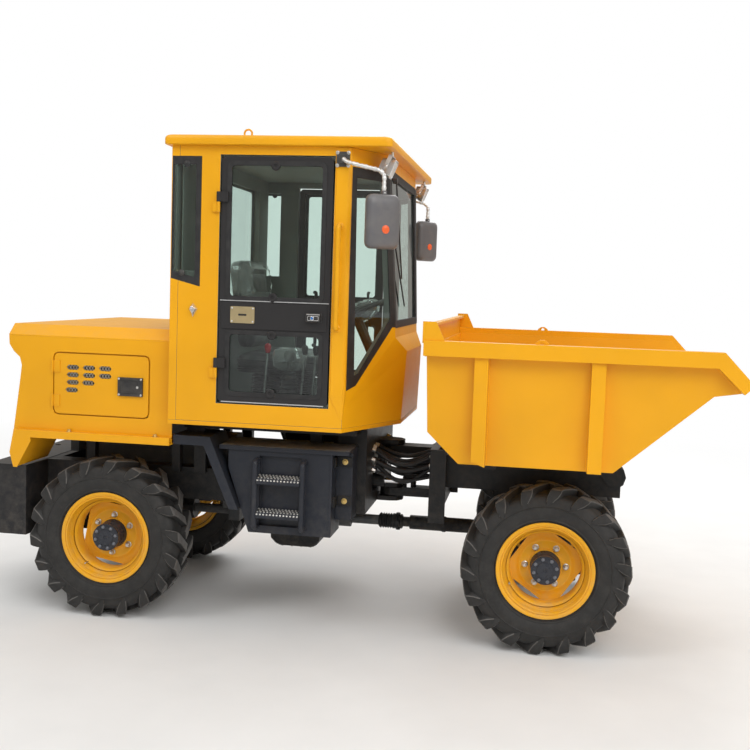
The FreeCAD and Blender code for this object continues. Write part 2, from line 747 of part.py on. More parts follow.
def mudguard():
    outer = [(-706, 925), (-525, 925), (-380, 585), (-425, 585), (-555, 880), (-706, 880)]
    edge = side(outer, -700, -690)
    inner = [(-706, 925), (-525, 925), (-380, 585), (-387, 582), (-529, 918), (-706, 918)]
    # bracket up to the cab mount
    bracket = box(-690, -600, -550, -460, 925, 945)
    return fuse([edge, side(inner, -700, -450), bracket])


save("mudguards", group(both(mudguard())))

rails = []
for sgn in (-1, 1):
    y = sgn * 812
    r = fuse([
        bar((86, y, 1450), (86, y, 1930), 11),
        bar((86, sgn * CAB_Y, 1461), (86, y, 1461), 11),
        bar((86, sgn * CAB_Y, 1919), (86, y, 1919), 11),
    ])
    rails.append(r)
save("grab_rails", group(rails))


def mirror_arm(turn):
    """Bracket, arm and head; the head swings about its arm."""
    y, z = -CAB_Y, CAB_Z1
    arm = fuse([
        box(74, 116, y - 15, y, z - 80, z - 28),
        bar((95, y - 8, z - 54), (150, y - 55, z - 78), 8, 6),
        bar((150, y - 55, z - 78), (290, y - 75, z - 118), 8, 6),
        bar((290, y - 75, z - 118), (290, y - 75, z - 218), 8, 6),
    ])
    head = box(-25, 25, -80, 80, -118, 118)
    head = chamfer_along(head, 18, AX_X)
    head.rotate(V(0, 0, 0), AX_Z, turn)
    head.translate(V(290, y - 75, z - 330))
    return arm.fuse(head).removeSplitter()


save("mirrors", group([mirror_arm(-50), mirror(mirror_arm(35))]))


def lamp():
    body = box(236, 300, -672, -580, CAB_Z1 - 112, CAB_Z1 - 26)
    stem = box(250, 286, -638, -618, CAB_Z1 - 30, CAB_Z1)
    return body.fuse(stem).removeSplitter()


save("work_lamps", group(both(lamp())))

# Front body


RAIL_Z0, RAIL_Z1 = 690.0, 850.0
YOKE_X = 490.0


def front_frame():
    parts = []
    for sgn in (-1, 1):
        y = sgn * RAIL_Y
        parts.append(box(YOKE_X + 30, TIP_X + 38, y - 40, y + 40, RAIL_Z0, RAIL_Z1))
        parts.append(box(X_FRONT - 60, X_FRONT + 60, y - 40, y + 40, AXLE_Z + 90, RAIL_Z0 + 10))
        parts.append(bar((TIP_X, y - 40, TIP_Z), (TIP_X, y + 40, TIP_Z), 62, 10))
        parts.append(box(YOKE_X, YOKE_X + 80, *sorted((sgn * 392, sgn * 408)), 520, 880))
        # lugs of the tipping cylinder, carried by the front cross member
        x, z = RAM_BASE[0], RAM_BASE[2]
        parts.append(side([
            (x - 34, z - 32), (x + 34, z - 32), (TIP_X - 52, RAIL_Z0), (TIP_X - 52, RAIL_Z0 + 50),
            (TIP_X - 80, RAIL_Z0 + 50), (x - 34, z + 40),
        ], *sorted((sgn * 44, sgn * 58))))
    parts.append(box(YOKE_X, YOKE_X + 40, -400, 400, 520, 880))
    parts.append(box(TIP_X - 80, TIP_X - 52, -RAIL_Y, RAIL_Y, RAIL_Z0, RAIL_Z0 + 50))
    for z0, z1 in ((572, 614), (795, 837)):
        arm = box(PIVOT_X, YOKE_X + 10, -58, 58, z0, z1).fuse(bar((PIVOT_X, 0, z0), (PIVOT_X, 0, z1), 60, 10))
        parts.append(arm.cut(bore((PIVOT_X, 0, z0 - 5), (PIVOT_X, 0, z1 + 5), PIVOT_PIN)))
    for z0, z1 in STEER_LUGS:
        parts.append(box(STEER_EYE[0] - 30, YOKE_X + 10, STEER_EYE[1] - 32, STEER_EYE[1] + 32, z0, z1))
    ex, ey = STEER_EYE[0], STEER_EYE[1]
    parts.append(bar((ex, ey, STEER_LUGS[0][0]), (ex, ey, STEER_LUGS[1][1]), STEER_PIN, 12))
    parts.append(bar((RAM_BASE[0], -58, RAM_BASE[2]), (RAM_BASE[0], 58, RAM_BASE[2]), RAM_PIN, 12))
    out = fuse(parts)
    for sgn in (-1, 1):
        y = sgn * RAIL_Y
        out = out.cut(bore((TIP_X, y - 60, TIP_Z), (TIP_X, y + 60, TIP_Z), TIP_PIN))
    return out


save("front_frame", front_frame())
save("drive_shaft", fuse([
    bar((262, 0, SHAFT_Z), (X_FRONT - 240, 0, SHAFT_Z), 26, 12),
    bar((620, 0, SHAFT_Z), (X_FRONT - 240, 0, SHAFT_Z), 36, 12),
]))

# Skip

SKIP_BACK = 505.0
SKIP_Z0 = 890.0
SKIP_Z1 = 1400.0
SKIP_T = 6.0
SKIP_PROFILE = [
    (SKIP_BACK, SKIP_Z1), (SKIP_BACK + 13, 1026), (SKIP_BACK + 153, SKIP_Z0), (X_FRONT + 264, SKIP_Z0),
    (X_FRONT + 659, 1243), (X_FRONT + 773, 1262), (X_FRONT + 680, SKIP_Z1),
]
SKIP_Y_TOP = 872.0
SKIP_Y_LOW = 832.0
SKIP_RAIL_Y = 922.0
SKIP_RAIL_Z = 1432.0


def skip_section(t):
    """The slanted sides as a prism, t inside the outer faces."""
    k = (SKIP_Y_TOP - SKIP_Y_LOW) / (SKIP_Z1 - SKIP_Z0)
    top = SKIP_Y_TOP + k * 60 - t
    low = SKIP_Y_LOW - k * 60 - t
    sect = [(-low, SKIP_Z0 - 60), (-top, SKIP_Z1 + 60), (top, SKIP_Z1 + 60), (low, SKIP_Z0 - 60)]
    return front(sect, 400, LIP_END + 130)


def skip_outline(t):
    """The side view as a prism, with the sheets t thinner for the space inside and open at the top."""
    p = SKIP_PROFILE
    if t:
        (x0, _), (x1, z1), (x2, z2), (x3, z3), (x4, z4), (x5, z5), _ = p
        p = [
            (x0 + t, SKIP_Z1 + 60), (x1 + t, z1 + t * 0.5), (x2 + t * 0.4, z2 + t), (x3 - t * 0.4, z3 + t),
            (x4 - t * 0.4, z4 + t), (x5 + 65, z5 + 11 + t), (x5 + 65, SKIP_Z1 + 60),
        ]
    return side(p, -900, 900)


def skip():
    """Back, floor and lip in one bent sheet, with what hangs below it."""
    pan = skip_outline(0).common(skip_section(SKIP_T)).cut(skip_outline(SKIP_T))
    parts = [pan]
    for sgn in (-1, 1):
        # hinge plates down to the pin
        for y in (sgn * (RAIL_Y - 55), sgn * (RAIL_Y + 55)):
            y0, y1 = y - 8, y + 8
            plate = side([
                (TIP_X - 182, SKIP_Z0 + 5), (TIP_X - 32, SKIP_Z0 + 5), (TIP_X + 38, 830), (TIP_X + 38, TIP_Z),
                (TIP_X - 22, TIP_Z - 40), (TIP_X - 52, TIP_Z),
            ], y0, y1)
            parts.append(plate.fuse(bar((TIP_X, y0, TIP_Z), (TIP_X, y1, TIP_Z), 42)))
        y = sgn * RAIL_Y
        pin = rod if sgn < 0 else bar
        parts.append(pin((TIP_X, y - 63, TIP_Z), (TIP_X, y + 63, TIP_Z), TIP_PIN))
        # lug of the tipping rod
        x, z = RAM_EYE[0], RAM_EYE[2]
        parts.append(box(x - 34, x + 34, *sorted((sgn * 29, sgn * 43)), z - 32, SKIP_Z0 + 2))
    for x in (SKIP_BACK + 255, RAM_EYE[0] + 95):
        parts.append(box(x, x + 60, -760, 760, SKIP_Z0 - 28, SKIP_Z0 + 2))
    x, z = RAM_EYE[0], RAM_EYE[2]
    parts.append(bar((x, -43, z), (x, 43, z), RAM_PIN, 12))
    # headboard above the rim of the sides
    parts.append(box(SKIP_BACK - 9, SKIP_BACK + 1, -SKIP_RAIL_Y + 17, SKIP_RAIL_Y - 17, SKIP_RAIL_Z, 1502))
    parts.append(box(SKIP_BACK - 9, SKIP_BACK + 1, -862, 862, 1360, SKIP_RAIL_Z))
    parts.append(box(SKIP_BACK - 9, SKIP_BACK + 25, -SKIP_RAIL_Y + 17, SKIP_RAIL_Y - 17, 1490, 1502))
    return fuse(parts)


def skip_side():
    """One side sheet with its rim rail, ribs, ear and lifting lug."""
    sheet = skip_outline(0).common(skip_section(0)).cut(skip_section(SKIP_T))
    sheet = sheet.common(box(300, LIP_END + 200, -950, 0, 800, 1600))
    y_in, y_out = -868, -SKIP_RAIL_Y
    x0 = SKIP_BACK
    parts = [sheet]
    parts.append(side([
        (x0 - 9, 1366), (x0 - 9, SKIP_RAIL_Z), (X_FRONT + 685, SKIP_RAIL_Z), (LIP_END, 1299), (X_FRONT + 770, 1261),
        (X_FRONT + 662, 1366),
    ], y_out, y_in))
    parts.append(side([(x0 - 15, 1420), (x0 - 15, 1514), (x0 + 43, 1514), (x0 + 85, 1425)], -913, -905))
    # ribs, their inner faces on the slanted sheet
    for rx, z in ((X_FRONT - 344, 915), (X_FRONT + 150, 893)):
        rib = side([(rx, 1370), (rx + 60, 1370), (rx + 60, 893), (rx, z)], -908, -820)
        parts.append(rib.cut(skip_section(SKIP_T / 2)))
    lug_x = X_FRONT - 62
    lug = bar((lug_x, -884, 1420), (lug_x, -869, 1420), 34, 10)
    parts.append(lug.cut(bar((lug_x, -890, 1436), (lug_x, -860, 1436), 10, 6)))
    return fuse(parts)


save("skip", skip())
SKIP_SIDE = skip_side()
save("skip_side_right", SKIP_SIDE)
save("skip_side_left", mirror(SKIP_SIDE))

# Cylinders


def cylinder(base, eye, barrel_r, rod_r, barrel_len, rod_in, eye_w, pin_r, play):
    """Barrel and rod. The rod reaches in to rod_in from the base pin; its eye has play around its pin."""
    a, b = V(*base), V(*eye)
    d = (b - a).normalize()
    axis = AX_Z if abs(d.z) < 0.1 else AX_Y
    half, wide = axis * (eye_w / 2), axis * (eye_w / 2 + 1)
    barrel = bar(a - half, a + half, pin_r + 15, 12)
    barrel = barrel.fuse([bar(a + d * 46, a + d * barrel_len, barrel_r, 12), bar(a, a + d * 48, barrel_r * 0.6)])
    barrel = barrel.cut(bar(a + d * 58, a + d * (barrel_len + 1), rod_r + 0.4, 12))
    barrel = barrel.cut(rod(a - wide, a + wide, pin_r + 0.05))
    hole = pin_r + play
    end = bar(b - half, b + half, hole + 12, 12)
    stem = bar(a + d * rod_in, b - d * (hole + 5), rod_r, 12)
    stem = stem.fuse(end).cut(bore(b - wide, b + wide, hole))
    return barrel.removeSplitter(), stem.removeSplitter()


CYLINDERS = (
    # name, base, eye, barrel radius, rod radius, barrel length, rod's inner end, eye width, pin radius, play
    ("steer", STEER_BASE, STEER_EYE, 30, 14, 285, 140, 46, STEER_PIN, STEER_PLAY),
    ("tip", RAM_BASE, RAM_EYE, 34, 20, 268, 64, 50, RAM_PIN, RAM_PLAY),
)
for name, base, eye, *sizes in CYLINDERS:
    b, r = cylinder(base, eye, *sizes)
    save("%s_barrel" % name, b)
    save("%s_rod" % name, r)
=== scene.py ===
import bpy
import bmesh
import json
from math import copysign, cos, pi, radians, sin
from mathutils import Matrix, Vector


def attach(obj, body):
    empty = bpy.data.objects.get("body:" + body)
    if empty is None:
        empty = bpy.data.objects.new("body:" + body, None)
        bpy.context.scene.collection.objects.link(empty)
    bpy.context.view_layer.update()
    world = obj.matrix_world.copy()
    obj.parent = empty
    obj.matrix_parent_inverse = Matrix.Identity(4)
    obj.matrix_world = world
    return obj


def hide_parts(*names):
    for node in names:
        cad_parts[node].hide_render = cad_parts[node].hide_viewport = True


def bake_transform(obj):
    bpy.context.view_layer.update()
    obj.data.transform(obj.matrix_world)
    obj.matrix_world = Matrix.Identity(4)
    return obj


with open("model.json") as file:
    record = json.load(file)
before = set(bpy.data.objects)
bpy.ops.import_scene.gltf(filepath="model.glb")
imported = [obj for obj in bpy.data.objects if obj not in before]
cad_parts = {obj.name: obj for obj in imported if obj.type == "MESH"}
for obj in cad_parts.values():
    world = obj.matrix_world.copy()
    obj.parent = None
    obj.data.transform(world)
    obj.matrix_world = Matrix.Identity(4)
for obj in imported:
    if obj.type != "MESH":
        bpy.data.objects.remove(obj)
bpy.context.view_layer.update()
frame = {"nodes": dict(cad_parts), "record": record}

# Lengths below are in millimetres in the same drawing frame as the part's source.
SHIFT = -96.0


def at(x, y, z):
    return Vector(((x + SHIFT) / 1000, y / 1000, z / 1000))


def add_object(name, data):
    ob = bpy.data.objects.new(name, data)
    bpy.context.scene.collection.objects.link(ob)
    return ob


def mesh_object(name, bm, mats):
    me = bpy.data.meshes.new(name)
    bm.to_mesh(me)
    bm.free()
    for mat in mats:
        me.materials.append(mat)
    return add_object(name, me)


# Materials

YELLOW = (0.84, 0.392, 0.006)
DUST = (0.42, 0.36, 0.29)


class Shader:
    """A small helper around the node tree of a material or of the world."""

    def __init__(self, name, world=False):
        self.owner = (bpy.data.worlds if world else bpy.data.materials).new(name)
        self.owner.use_nodes = True
        self.tree = self.owner.node_tree
        self.tree.nodes.clear()
        self.out = self.node("ShaderNodeOutputWorld" if world else "ShaderNodeOutputMaterial")
        self.coords = self.node("ShaderNodeTexCoord").outputs["Generated" if world else "Object"]

    def node(self, kind, **props):
        n = self.tree.nodes.new(kind)
        for key, value in props.items():
            setattr(n, key, value)
        return n

    def put(self, socket, value):
        """Link or set an input. A colour gets its alpha here."""
        if isinstance(value, bpy.types.NodeSocket):
            self.tree.links.new(value, socket)
        else:
            socket.default_value = (*value, 1.0) if isinstance(value, tuple) else value

    def fill(self, n, **inputs):
        """Set the inputs of a node by name, an underscore standing for a space."""
        for key, value in inputs.items():
            self.put(n.inputs[key.replace("_", " ")], value)
        return n

    def noise(self, scale, detail=4.0, rough=0.55):
        n = self.node("ShaderNodeTexNoise")
        self.fill(n, Vector=self.coords, Scale=scale, Detail=detail, Roughness=rough)
        return n.outputs["Fac"]

    def ramp(self, fac, a, b, lo=0.0, hi=1.0):
        """From lo to hi while fac goes from a to b."""
        n = self.node("ShaderNodeMapRange")
        self.fill(n, Value=fac, From_Min=a, From_Max=b, To_Min=lo, To_Max=hi)
        return n.outputs["Result"]

    def math(self, op, a, b=0.0, clamp=False):
        n = self.node("ShaderNodeMath", operation=op, use_clamp=clamp)
        self.put(n.inputs[0], a)
        self.put(n.inputs[1], b)
        return n.outputs[0]

    def times(self, a, b, clamp=False):
        return self.math("MULTIPLY", a, b, clamp)

    def plus(self, a, b, clamp=False):
        return self.math("ADD", a, b, clamp)

    def mix(self, fac, a, b):
        n = self.node("ShaderNodeMix", data_type="RGBA")
        for socket, value in ((n.inputs["Factor"], fac), (n.inputs[6], a), (n.inputs[7], b)):
            self.put(socket, value)
        return n.outputs[2]

    def split(self, vector):
        n = self.node("ShaderNodeSeparateXYZ")
        self.put(n.inputs[0], vector)
        return n.outputs

    def upward(self):
        """1 on faces that look up, 0 on walls."""
        normal = self.node("ShaderNodeNewGeometry").outputs["Normal"]
        return self.ramp(self.split(normal)["Z"], 0.35, 0.95)

    def height(self, top, low):
        """0 at top, 1 at low, in metres."""
        return self.ramp(self.split(self.coords)["Z"], top, low)

    def bevel(self, radius):
        return self.fill(self.node("ShaderNodeBevel", samples=4), Radius=radius).outputs["Normal"]

    def bump(self, height, strength, distance, **normal):
        n = self.node("ShaderNodeBump")
        return self.fill(n, Strength=strength, Distance=distance, Height=height, **normal).outputs["Normal"]

    def make(self, kind, **inputs):
        return self.fill(self.node(kind), **inputs)

    def blend(self, share, a, b):
        """Shader a with a share of shader b."""
        n = self.node("ShaderNodeMixShader")
        for socket, value in zip(n.inputs, (share, a.outputs[0], b.outputs[0])):
            self.put(socket, value)
        return n

    def close(self, shader):
        """Send a shader to the output."""
        self.put(self.out.inputs["Surface"], shader.outputs[0])
        return self.owner

    def surface(self, **inputs):
        return self.close(self.make("ShaderNodeBsdfPrincipled", **inputs))


def shade(color, k):
    return tuple(min(c * k, 1.0) for c in color)


def paint(name, color, rough, dust, coat, peel=0.12, low=(0.95, 0.25)):
    """Sprayed enamel: slight patches, orange peel, dust that gathers low down and on ledges."""
    s = Shader(name)
    patches = s.noise(1.7, 3)
    fine = s.noise(24, 6, 0.65)
    grain = s.noise(160, 2)
    base = s.mix(s.ramp(patches, 0.35, 0.68), shade(color, 0.93), shade(color, 1.05))
    settle = s.plus(s.plus(s.times(s.upward(), 0.75), s.times(s.height(*low), 0.9)), 0.06)
    blotch = s.times(s.ramp(fine, 0.38, 0.72), s.ramp(s.noise(3.1, 4), 0.3, 0.75, 0.35, 1.0))
    dirt = s.times(s.times(settle, blotch), dust, clamp=True)
    dirt = s.plus(dirt, s.times(s.ramp(grain, 0.66, 0.72), dust * 0.18), clamp=True)
    height = s.plus(s.times(s.noise(210, 2), 0.5), s.times(dirt, 1.2))
    return s.surface(
        Base_Color=s.mix(dirt, base, DUST),
        Roughness=s.plus(s.ramp(fine, 0.3, 0.8, rough - 0.05, rough + 0.09), s.times(dirt, 0.5)),
        Coat_Weight=coat, Coat_Roughness=0.16, IOR=1.42, Specular_IOR_Level=0.36,
        Normal=s.bump(height, peel, 0.0006, Normal=s.bevel(0.0016)),
    )


def rubber(name, color, dust, scale=22.0):
    s = Shader(name)
    fine = s.noise(scale, 6, 0.72)
    base = s.mix(s.ramp(s.noise(4, 3), 0.3, 0.7), shade(color, 0.85), shade(color, 1.25))
    return s.surface(
        Base_Color=s.mix(s.times(s.ramp(fine, 0.42, 0.74), dust, clamp=True), base, (0.23, 0.215, 0.20)),
        Roughness=s.ramp(fine, 0.2, 0.8, 0.52, 0.74),
        Normal=s.bump(s.noise(320, 3), 0.22, 0.0008, Normal=s.bevel(0.0015)),
    )


def metal(name, color, rough, dust=0.1):
    s = Shader(name)
    n = s.noise(60, 4, 0.6)
    dirt = s.times(s.ramp(s.noise(12, 5), 0.5, 0.75), dust, clamp=True)
    return s.surface(
        Base_Color=s.mix(dirt, s.mix(n, shade(color, 0.85), shade(color, 1.08)), (0.25, 0.21, 0.17)),
        Metallic=1.0, Roughness=s.ramp(n, 0.25, 0.75, rough * 0.8, rough * 1.35),
        Normal=s.bump(n, 0.08, 0.0004, Normal=s.bevel(0.0006)),
    )


def plastic(name, color, rough=0.45, grain=260, strength=0.12, dust=0.2):
    s = Shader(name)
    n = s.noise(grain, 3)
    base = s.mix(s.noise(6, 3), shade(color, 0.9), shade(color, 1.1))
    dirt = s.times(s.ramp(s.noise(14, 5), 0.42, 0.75), dust, clamp=True)
    return s.surface(
        Base_Color=s.mix(dirt, base, (0.3, 0.27, 0.23)),
        Roughness=s.ramp(n, 0.3, 0.7, rough - 0.06, rough + 0.08),
        Normal=s.bump(n, strength, 0.0005, Normal=s.bevel(0.0012)),
    )


def glass(name, tint, film=0.0):
    """Thin safety glass: mostly clear, with a mirror share that grows at grazing angles."""
    s = Shader(name)
    ripple = s.bump(s.noise(2.2, 2), 0.05, 0.01)
    gloss = s.make("ShaderNodeBsdfGlossy", Color=(0.95, 0.98, 1.0), Roughness=0.03, Normal=ripple)
    fresnel = s.make("ShaderNodeFresnel", IOR=1.52)
    share = s.plus(s.times(fresnel.outputs[0], 1.2), s.ramp(s.noise(9, 5), 0.45, 0.8, 0.01, 0.04))
    # a pane is solid: its far face, seen from within, adds no mirror share of its own
    front = s.math("SUBTRACT", 1.0, s.node("ShaderNodeNewGeometry").outputs["Backfacing"])
    pane = s.blend(s.times(share, front), s.make("ShaderNodeBsdfTransparent", Color=tint), gloss)
    if film:
        haze = s.make("ShaderNodeBsdfDiffuse", Color=(0.75, 0.75, 0.74))
        pane = s.blend(s.ramp(s.noise(7, 5), 0.3, 0.8, film * 0.4, film), pane, haze)
    return s.close(pane)


def tread_plate(name, color):
    """Painted chequer plate: rows of raised lozenges that lean alternately."""
    s = Shader(name)
    pitch = 0.017
    u, y, z = s.split(s.coords)
    # across the plate, whichever way it faces
    v = s.plus(y, z)
    a = s.times(s.plus(u, v), pi / pitch)
    b = s.times(s.math("SUBTRACT", u, v), pi / pitch)
    bars = []
    for p, q in ((a, b), (b, a)):
        long = s.math("ABSOLUTE", s.math("SINE", s.times(p, 0.5)))
        thin = s.math("POWER", s.math("ABSOLUTE", s.math("COSINE", q)), 7.0)
        bars.append(s.times(s.ramp(long, 0.45, 0.62), thin))
    pattern = s.math("MAXIMUM", *bars)
    fine = s.noise(26, 5, 0.65)
    dirt = s.times(s.ramp(fine, 0.35, 0.75), 0.45)
    dirt = s.times(dirt, s.math("SUBTRACT", 1.25, pattern), clamp=True)
    worn = s.times(s.ramp(pattern, 0.55, 0.9), s.ramp(fine, 0.4, 0.6, 0.2, 0.7))
    return s.surface(
        Base_Color=s.mix(dirt, s.mix(worn, color, shade(color, 2.3)), (0.34, 0.32, 0.30)),
        Roughness=s.ramp(dirt, 0.0, 0.5, 0.42, 0.8),
        Normal=s.bump(pattern, 0.9, 0.0016, Normal=s.bevel(0.002)),
    )


M = {}
M["yellow"] = paint("Yellow enamel", YELLOW, 0.38, 0.22, 0.04)
M["rim"] = paint("Rim enamel", (0.86, 0.415, 0.014), 0.38, 0.36, 0.06, low=(0.75, 0.15))
M["grey"] = paint("Blue grey enamel", (0.019, 0.0225, 0.032), 0.44, 0.15, 0.05)
M["black"] = paint("Black enamel", (0.018, 0.018, 0.020), 0.45, 0.25, 0.05)
M["hub"] = paint("Hub enamel", (0.020, 0.023, 0.032), 0.28, 0.12, 0.3, low=(0.5, 0.1))
M["chassis"] = paint("Chassis enamel", (0.012, 0.0125, 0.014), 0.5, 0.22, 0.05)
M["door"] = paint("Black powder coat", (0.026, 0.025, 0.026), 0.45, 0.10, 0.05, peel=0.3)
# painted shade: faces inside the cab take this dark grey-green in place of their yellow, as they look in
# shade behind the glass
M["lining"] = paint("Cab lining", (0.165, 0.185, 0.17), 0.6, 0.15, 0.0, peel=0.3)
M["glass"] = glass("Clear glass", (0.87, 0.93, 0.905))
M["film"] = glass("Wrapping film", (0.95, 0.96, 0.96), 0.35)
M["rubber"] = rubber("Tyre rubber", (0.013, 0.0125, 0.012), 0.10)
# lighter rubber of the bars: painted highlight on their chamfers, wear and painted highlight on their tops
M["lug"] = rubber("Lug rubber with wear and painted highlight", (0.080, 0.075, 0.070), 0.45, 34.0)
M["seal"] = rubber("Seal rubber", (0.010, 0.010, 0.011), 0.1)
M["plastic"] = plastic("Black plastic", (0.018, 0.018, 0.019))
M["dark"] = plastic("Charcoal plastic", (0.12, 0.118, 0.125), 0.36)
M["vinyl"] = plastic("Grained vinyl", (0.02, 0.02, 0.022), 0.5, 420, 0.3)
M["orange"] = plastic("Orange reflector", (0.85, 0.13, 0.03), 0.25, 300, 0.3, 0.05)
M["red"] = plastic("Red knob", (0.55, 0.012, 0.02), 0.25, 90, 0.02, 0.05)
M["blue"] = plastic("Blue lock", (0.03, 0.16, 0.45), 0.3, 90, 0.02, 0.0)
M["chrome"] = metal("Chrome", (0.82, 0.82, 0.83), 0.12)
M["steel"] = metal("Zinc steel", (0.62, 0.61, 0.58), 0.32)
M["screw"] = metal("Dark screw", (0.20, 0.21, 0.24), 0.3)
M["gold"] = metal("Yellow zinc", (0.72, 0.52, 0.2), 0.35)
M["brass"] = metal("Brass", (0.58, 0.47, 0.27), 0.38)
M["silver"] = metal("Silver housing", (0.68, 0.69, 0.7), 0.35)
M["foil"] = metal("Silver wrap", (0.8, 0.8, 0.79), 0.42, 0.25)
M["lens"] = plastic("Lamp lens", (0.75, 0.77, 0.78), 0.08, 120, 0.25, 0.05)
M["engine"] = paint("Engine enamel", (0.07, 0.075, 0.08), 0.5, 0.4, 0.0)
M["tread"] = tread_plate("Chequer plate", (0.085, 0.092, 0.105))

SLOTS = {
    "paint_yellow": "yellow", "paint_black": "black", "paint_grey": "grey", "frame_paint": "chassis",
    "door_black": "door", "glass": "glass", "tyre": "rubber", "rim": "rim", "plastic": "plastic",
    "seat": "vinyl", "steel": "chrome", "lamp": "silver", "engine": "engine",
}
NODE_SLOT = {p["node"]: p["material_slot"] for p in frame["record"]["subparts"]}
NODE_BODY = {n: b for b, names in frame["record"]["behaviour"]["bodies"].items() for n in names}


def dress(node, mat):
    ob = bpy.data.objects[node] if node in bpy.data.objects else frame["nodes"][node]
    if not ob.material_slots:
        ob.data.materials.append(mat)
    for slot in ob.material_slots:
        slot.material = mat


# Mesh helpers


def finish(name, bm, mats, body="rear_body", bevel=0.0, segments=2, angle=35.0, replaces=(), slot=None):
    """The finished piece. Its slot argument, or the slot of the node that it replaces, is not used."""
    bmesh.ops.recalc_face_normals(bm, faces=bm.faces)
    ob = mesh_object(name, bm, [M[key] for key in mats.split()])
    me = ob.data
    for p in me.polygons:
        p.use_smooth = True
    if bevel:
        b = ob.modifiers.new("Edges", "BEVEL")
        b.width = bevel / 1000
        b.segments = segments
        b.limit_method = "ANGLE"
        b.angle_limit = radians(angle)
        w = ob.modifiers.new("Normals", "WEIGHTED_NORMAL")
        w.keep_sharp = False
        w.weight = 90
    else:
        me.set_sharp_from_angle(angle=radians(angle))
    if body:
        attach(ob, body)
    if replaces:
        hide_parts(*replaces)
        slot = slot or NODE_SLOT[replaces[0]]
    return ob


def turns(n):
    """The angles of n equal steps around a circle."""
    return [2 * pi * k / n for k in range(n)]


def join(bm, a, b, mat=0):
    """Quads between two closed rings of vertices."""
    for i in range(len(a)):
        j = (i + 1) % len(a)
        bm.faces.new([a[i], a[j], b[j], b[i]]).material_index = mat


def join_all(bm, rings, mat=0, cap=True):
    for a, b in zip(rings, rings[1:]):
        join(bm, a, b, mat)
    if cap:
        bm.faces.new(rings[0]).material_index = mat
        bm.faces.new(rings[-1][::-1]).material_index = mat


def add_box(bm, x0, x1, y0, y1, z0, z1):
    """A box between corners; its two y values may come in either order."""
    vs = [bm.verts.new(at(x, y, z)) for x in (x0, x1) for y in sorted((y0, y1)) for z in (z0, z1)]
    for idx in ((0, 1, 3, 2), (4, 6, 7, 5), (0, 4, 5, 1), (2, 3, 7, 6), (0, 2, 6, 4), (1, 5, 7, 3)):
        bm.faces.new([vs[i] for i in idx])


def add_prism(bm, a, b, mat=0):
    """A solid between two matching loops of points."""
    va = [bm.verts.new(p) for p in a]
    vb = [bm.verts.new(p) for p in b]
    for cap in (va, vb[::-1]):
        bm.faces.new(cap).material_index = mat
    join(bm, va, vb, mat)


def square_to(axis):
    """A unit vector square to the axis."""
    ref = (0, 0, 1) if abs(axis.z) < 0.9 else (1, 0, 0)
    return axis.cross(Vector(ref)).normalized()


def ring_around(bm, mid, u, w, r, segs):
    """A ring of vertices in the plane of u and w, its radius in millimetres."""
    return [bm.verts.new(mid + (u * cos(t) + w * sin(t)) * (r / 1000)) for t in turns(segs)]


def spin(bm, rows, centre, axis, segs, mat=0):
    """Turn (along, radius) rows around the axis through centre; rows with radius 0 close the end."""
    axis = Vector(axis).normalized()
    u = square_to(axis)
    w = axis.cross(u)
    rings = []
    for along, r in rows:
        mid = centre + axis * (along / 1000)
        rings.append(ring_around(bm, mid, u, w, r, segs if r > 0 else 1))
    for a, b in zip(rings, rings[1:]):
        for i in range(segs):
            j = (i + 1) % segs
            # a closed end has one vertex, so its faces are triangles
            corners = (a[i % len(a)], a[j % len(a)], b[j % len(b)], b[i % len(b)])
            bm.faces.new(list(dict.fromkeys(corners))).material_index = mat


def rod(bm, a, b, r, segs, mat=0):
    """A capped rod between two points given in metres."""
    d = b - a
    n = d.length * 1000
    e = min(r * 0.18, 1.5)
    spin(bm, [(0, 0), (0, r - e), (e, r), (n - e, r), (n, r - e), (n, 0)], a, d, segs, mat)


def smooth_path(points, radius, steps=6):
    """Straight runs joined by arcs, in metres."""
    out = [points[0]]
    for p, q, s in zip(points, points[1:], points[2:]):
        a, b = (p - q), (s - q)
        r = min(radius / 1000, a.length * 0.45, b.length * 0.45)
        start, end = q + a.normalized() * r, q + b.normalized() * r
        for i in range(steps + 1):
            t = i / steps
            out.append(start * (1 - t) ** 2 + q * (2 * t * (1 - t)) + end * t ** 2)
    out.append(points[-1])
    return out


def add_tube(bm, points, r, segs, mat=0, radii=None):
    """A tube along points in metres, its frame carried from point to point."""
    rings = []
    last = len(points) - 1
    u = square_to((points[1] - points[0]).normalized())
    for i, p in enumerate(points):
        t = (points[min(i + 1, last)] - points[max(i - 1, 0)]).normalized()
        u = (u - t * u.dot(t)).normalized()
        rings.append(ring_around(bm, p, u, t.cross(u), radii[i] if radii else r, segs))
    join_all(bm, rings, mat)


def bolt(bm, p, axis, size, head, mat=0):
    """A hexagon head on a washer, standing on p (metres) along axis."""
    rows = [(0, 0), (0, size * 0.95), (1.8, size * 0.95), (2.2, size * 0.88), (2.2, 0)]
    spin(bm, rows, p, axis, 20, mat)
    # from the middle to a corner of the hexagon
    r = size * 0.577
    rows = [(2, 0), (2, r), (2 + head * 0.85, r), (2 + head, r * 0.82), (2 + head, 0)]
    spin(bm, rows, p, axis, 6, mat)


def stud(bm, p, axis, r, h, mat=0, segs=16):
    """A round domed head."""
    spin(bm, [(0, r), (h * 0.5, r), (h * 0.85, r * 0.75), (h, r * 0.3), (h, 0)], p, axis, segs, mat)


# Wheels

AXLE_Z = 390.0
TYRE_Y = 566.0
FLANGE_R = 225.0
BEAD_R = 203.0
FLANGE_Y = 655.0
LUGS = 18
# turn of the first bar, in degrees
FIRST_LUG = 4.85
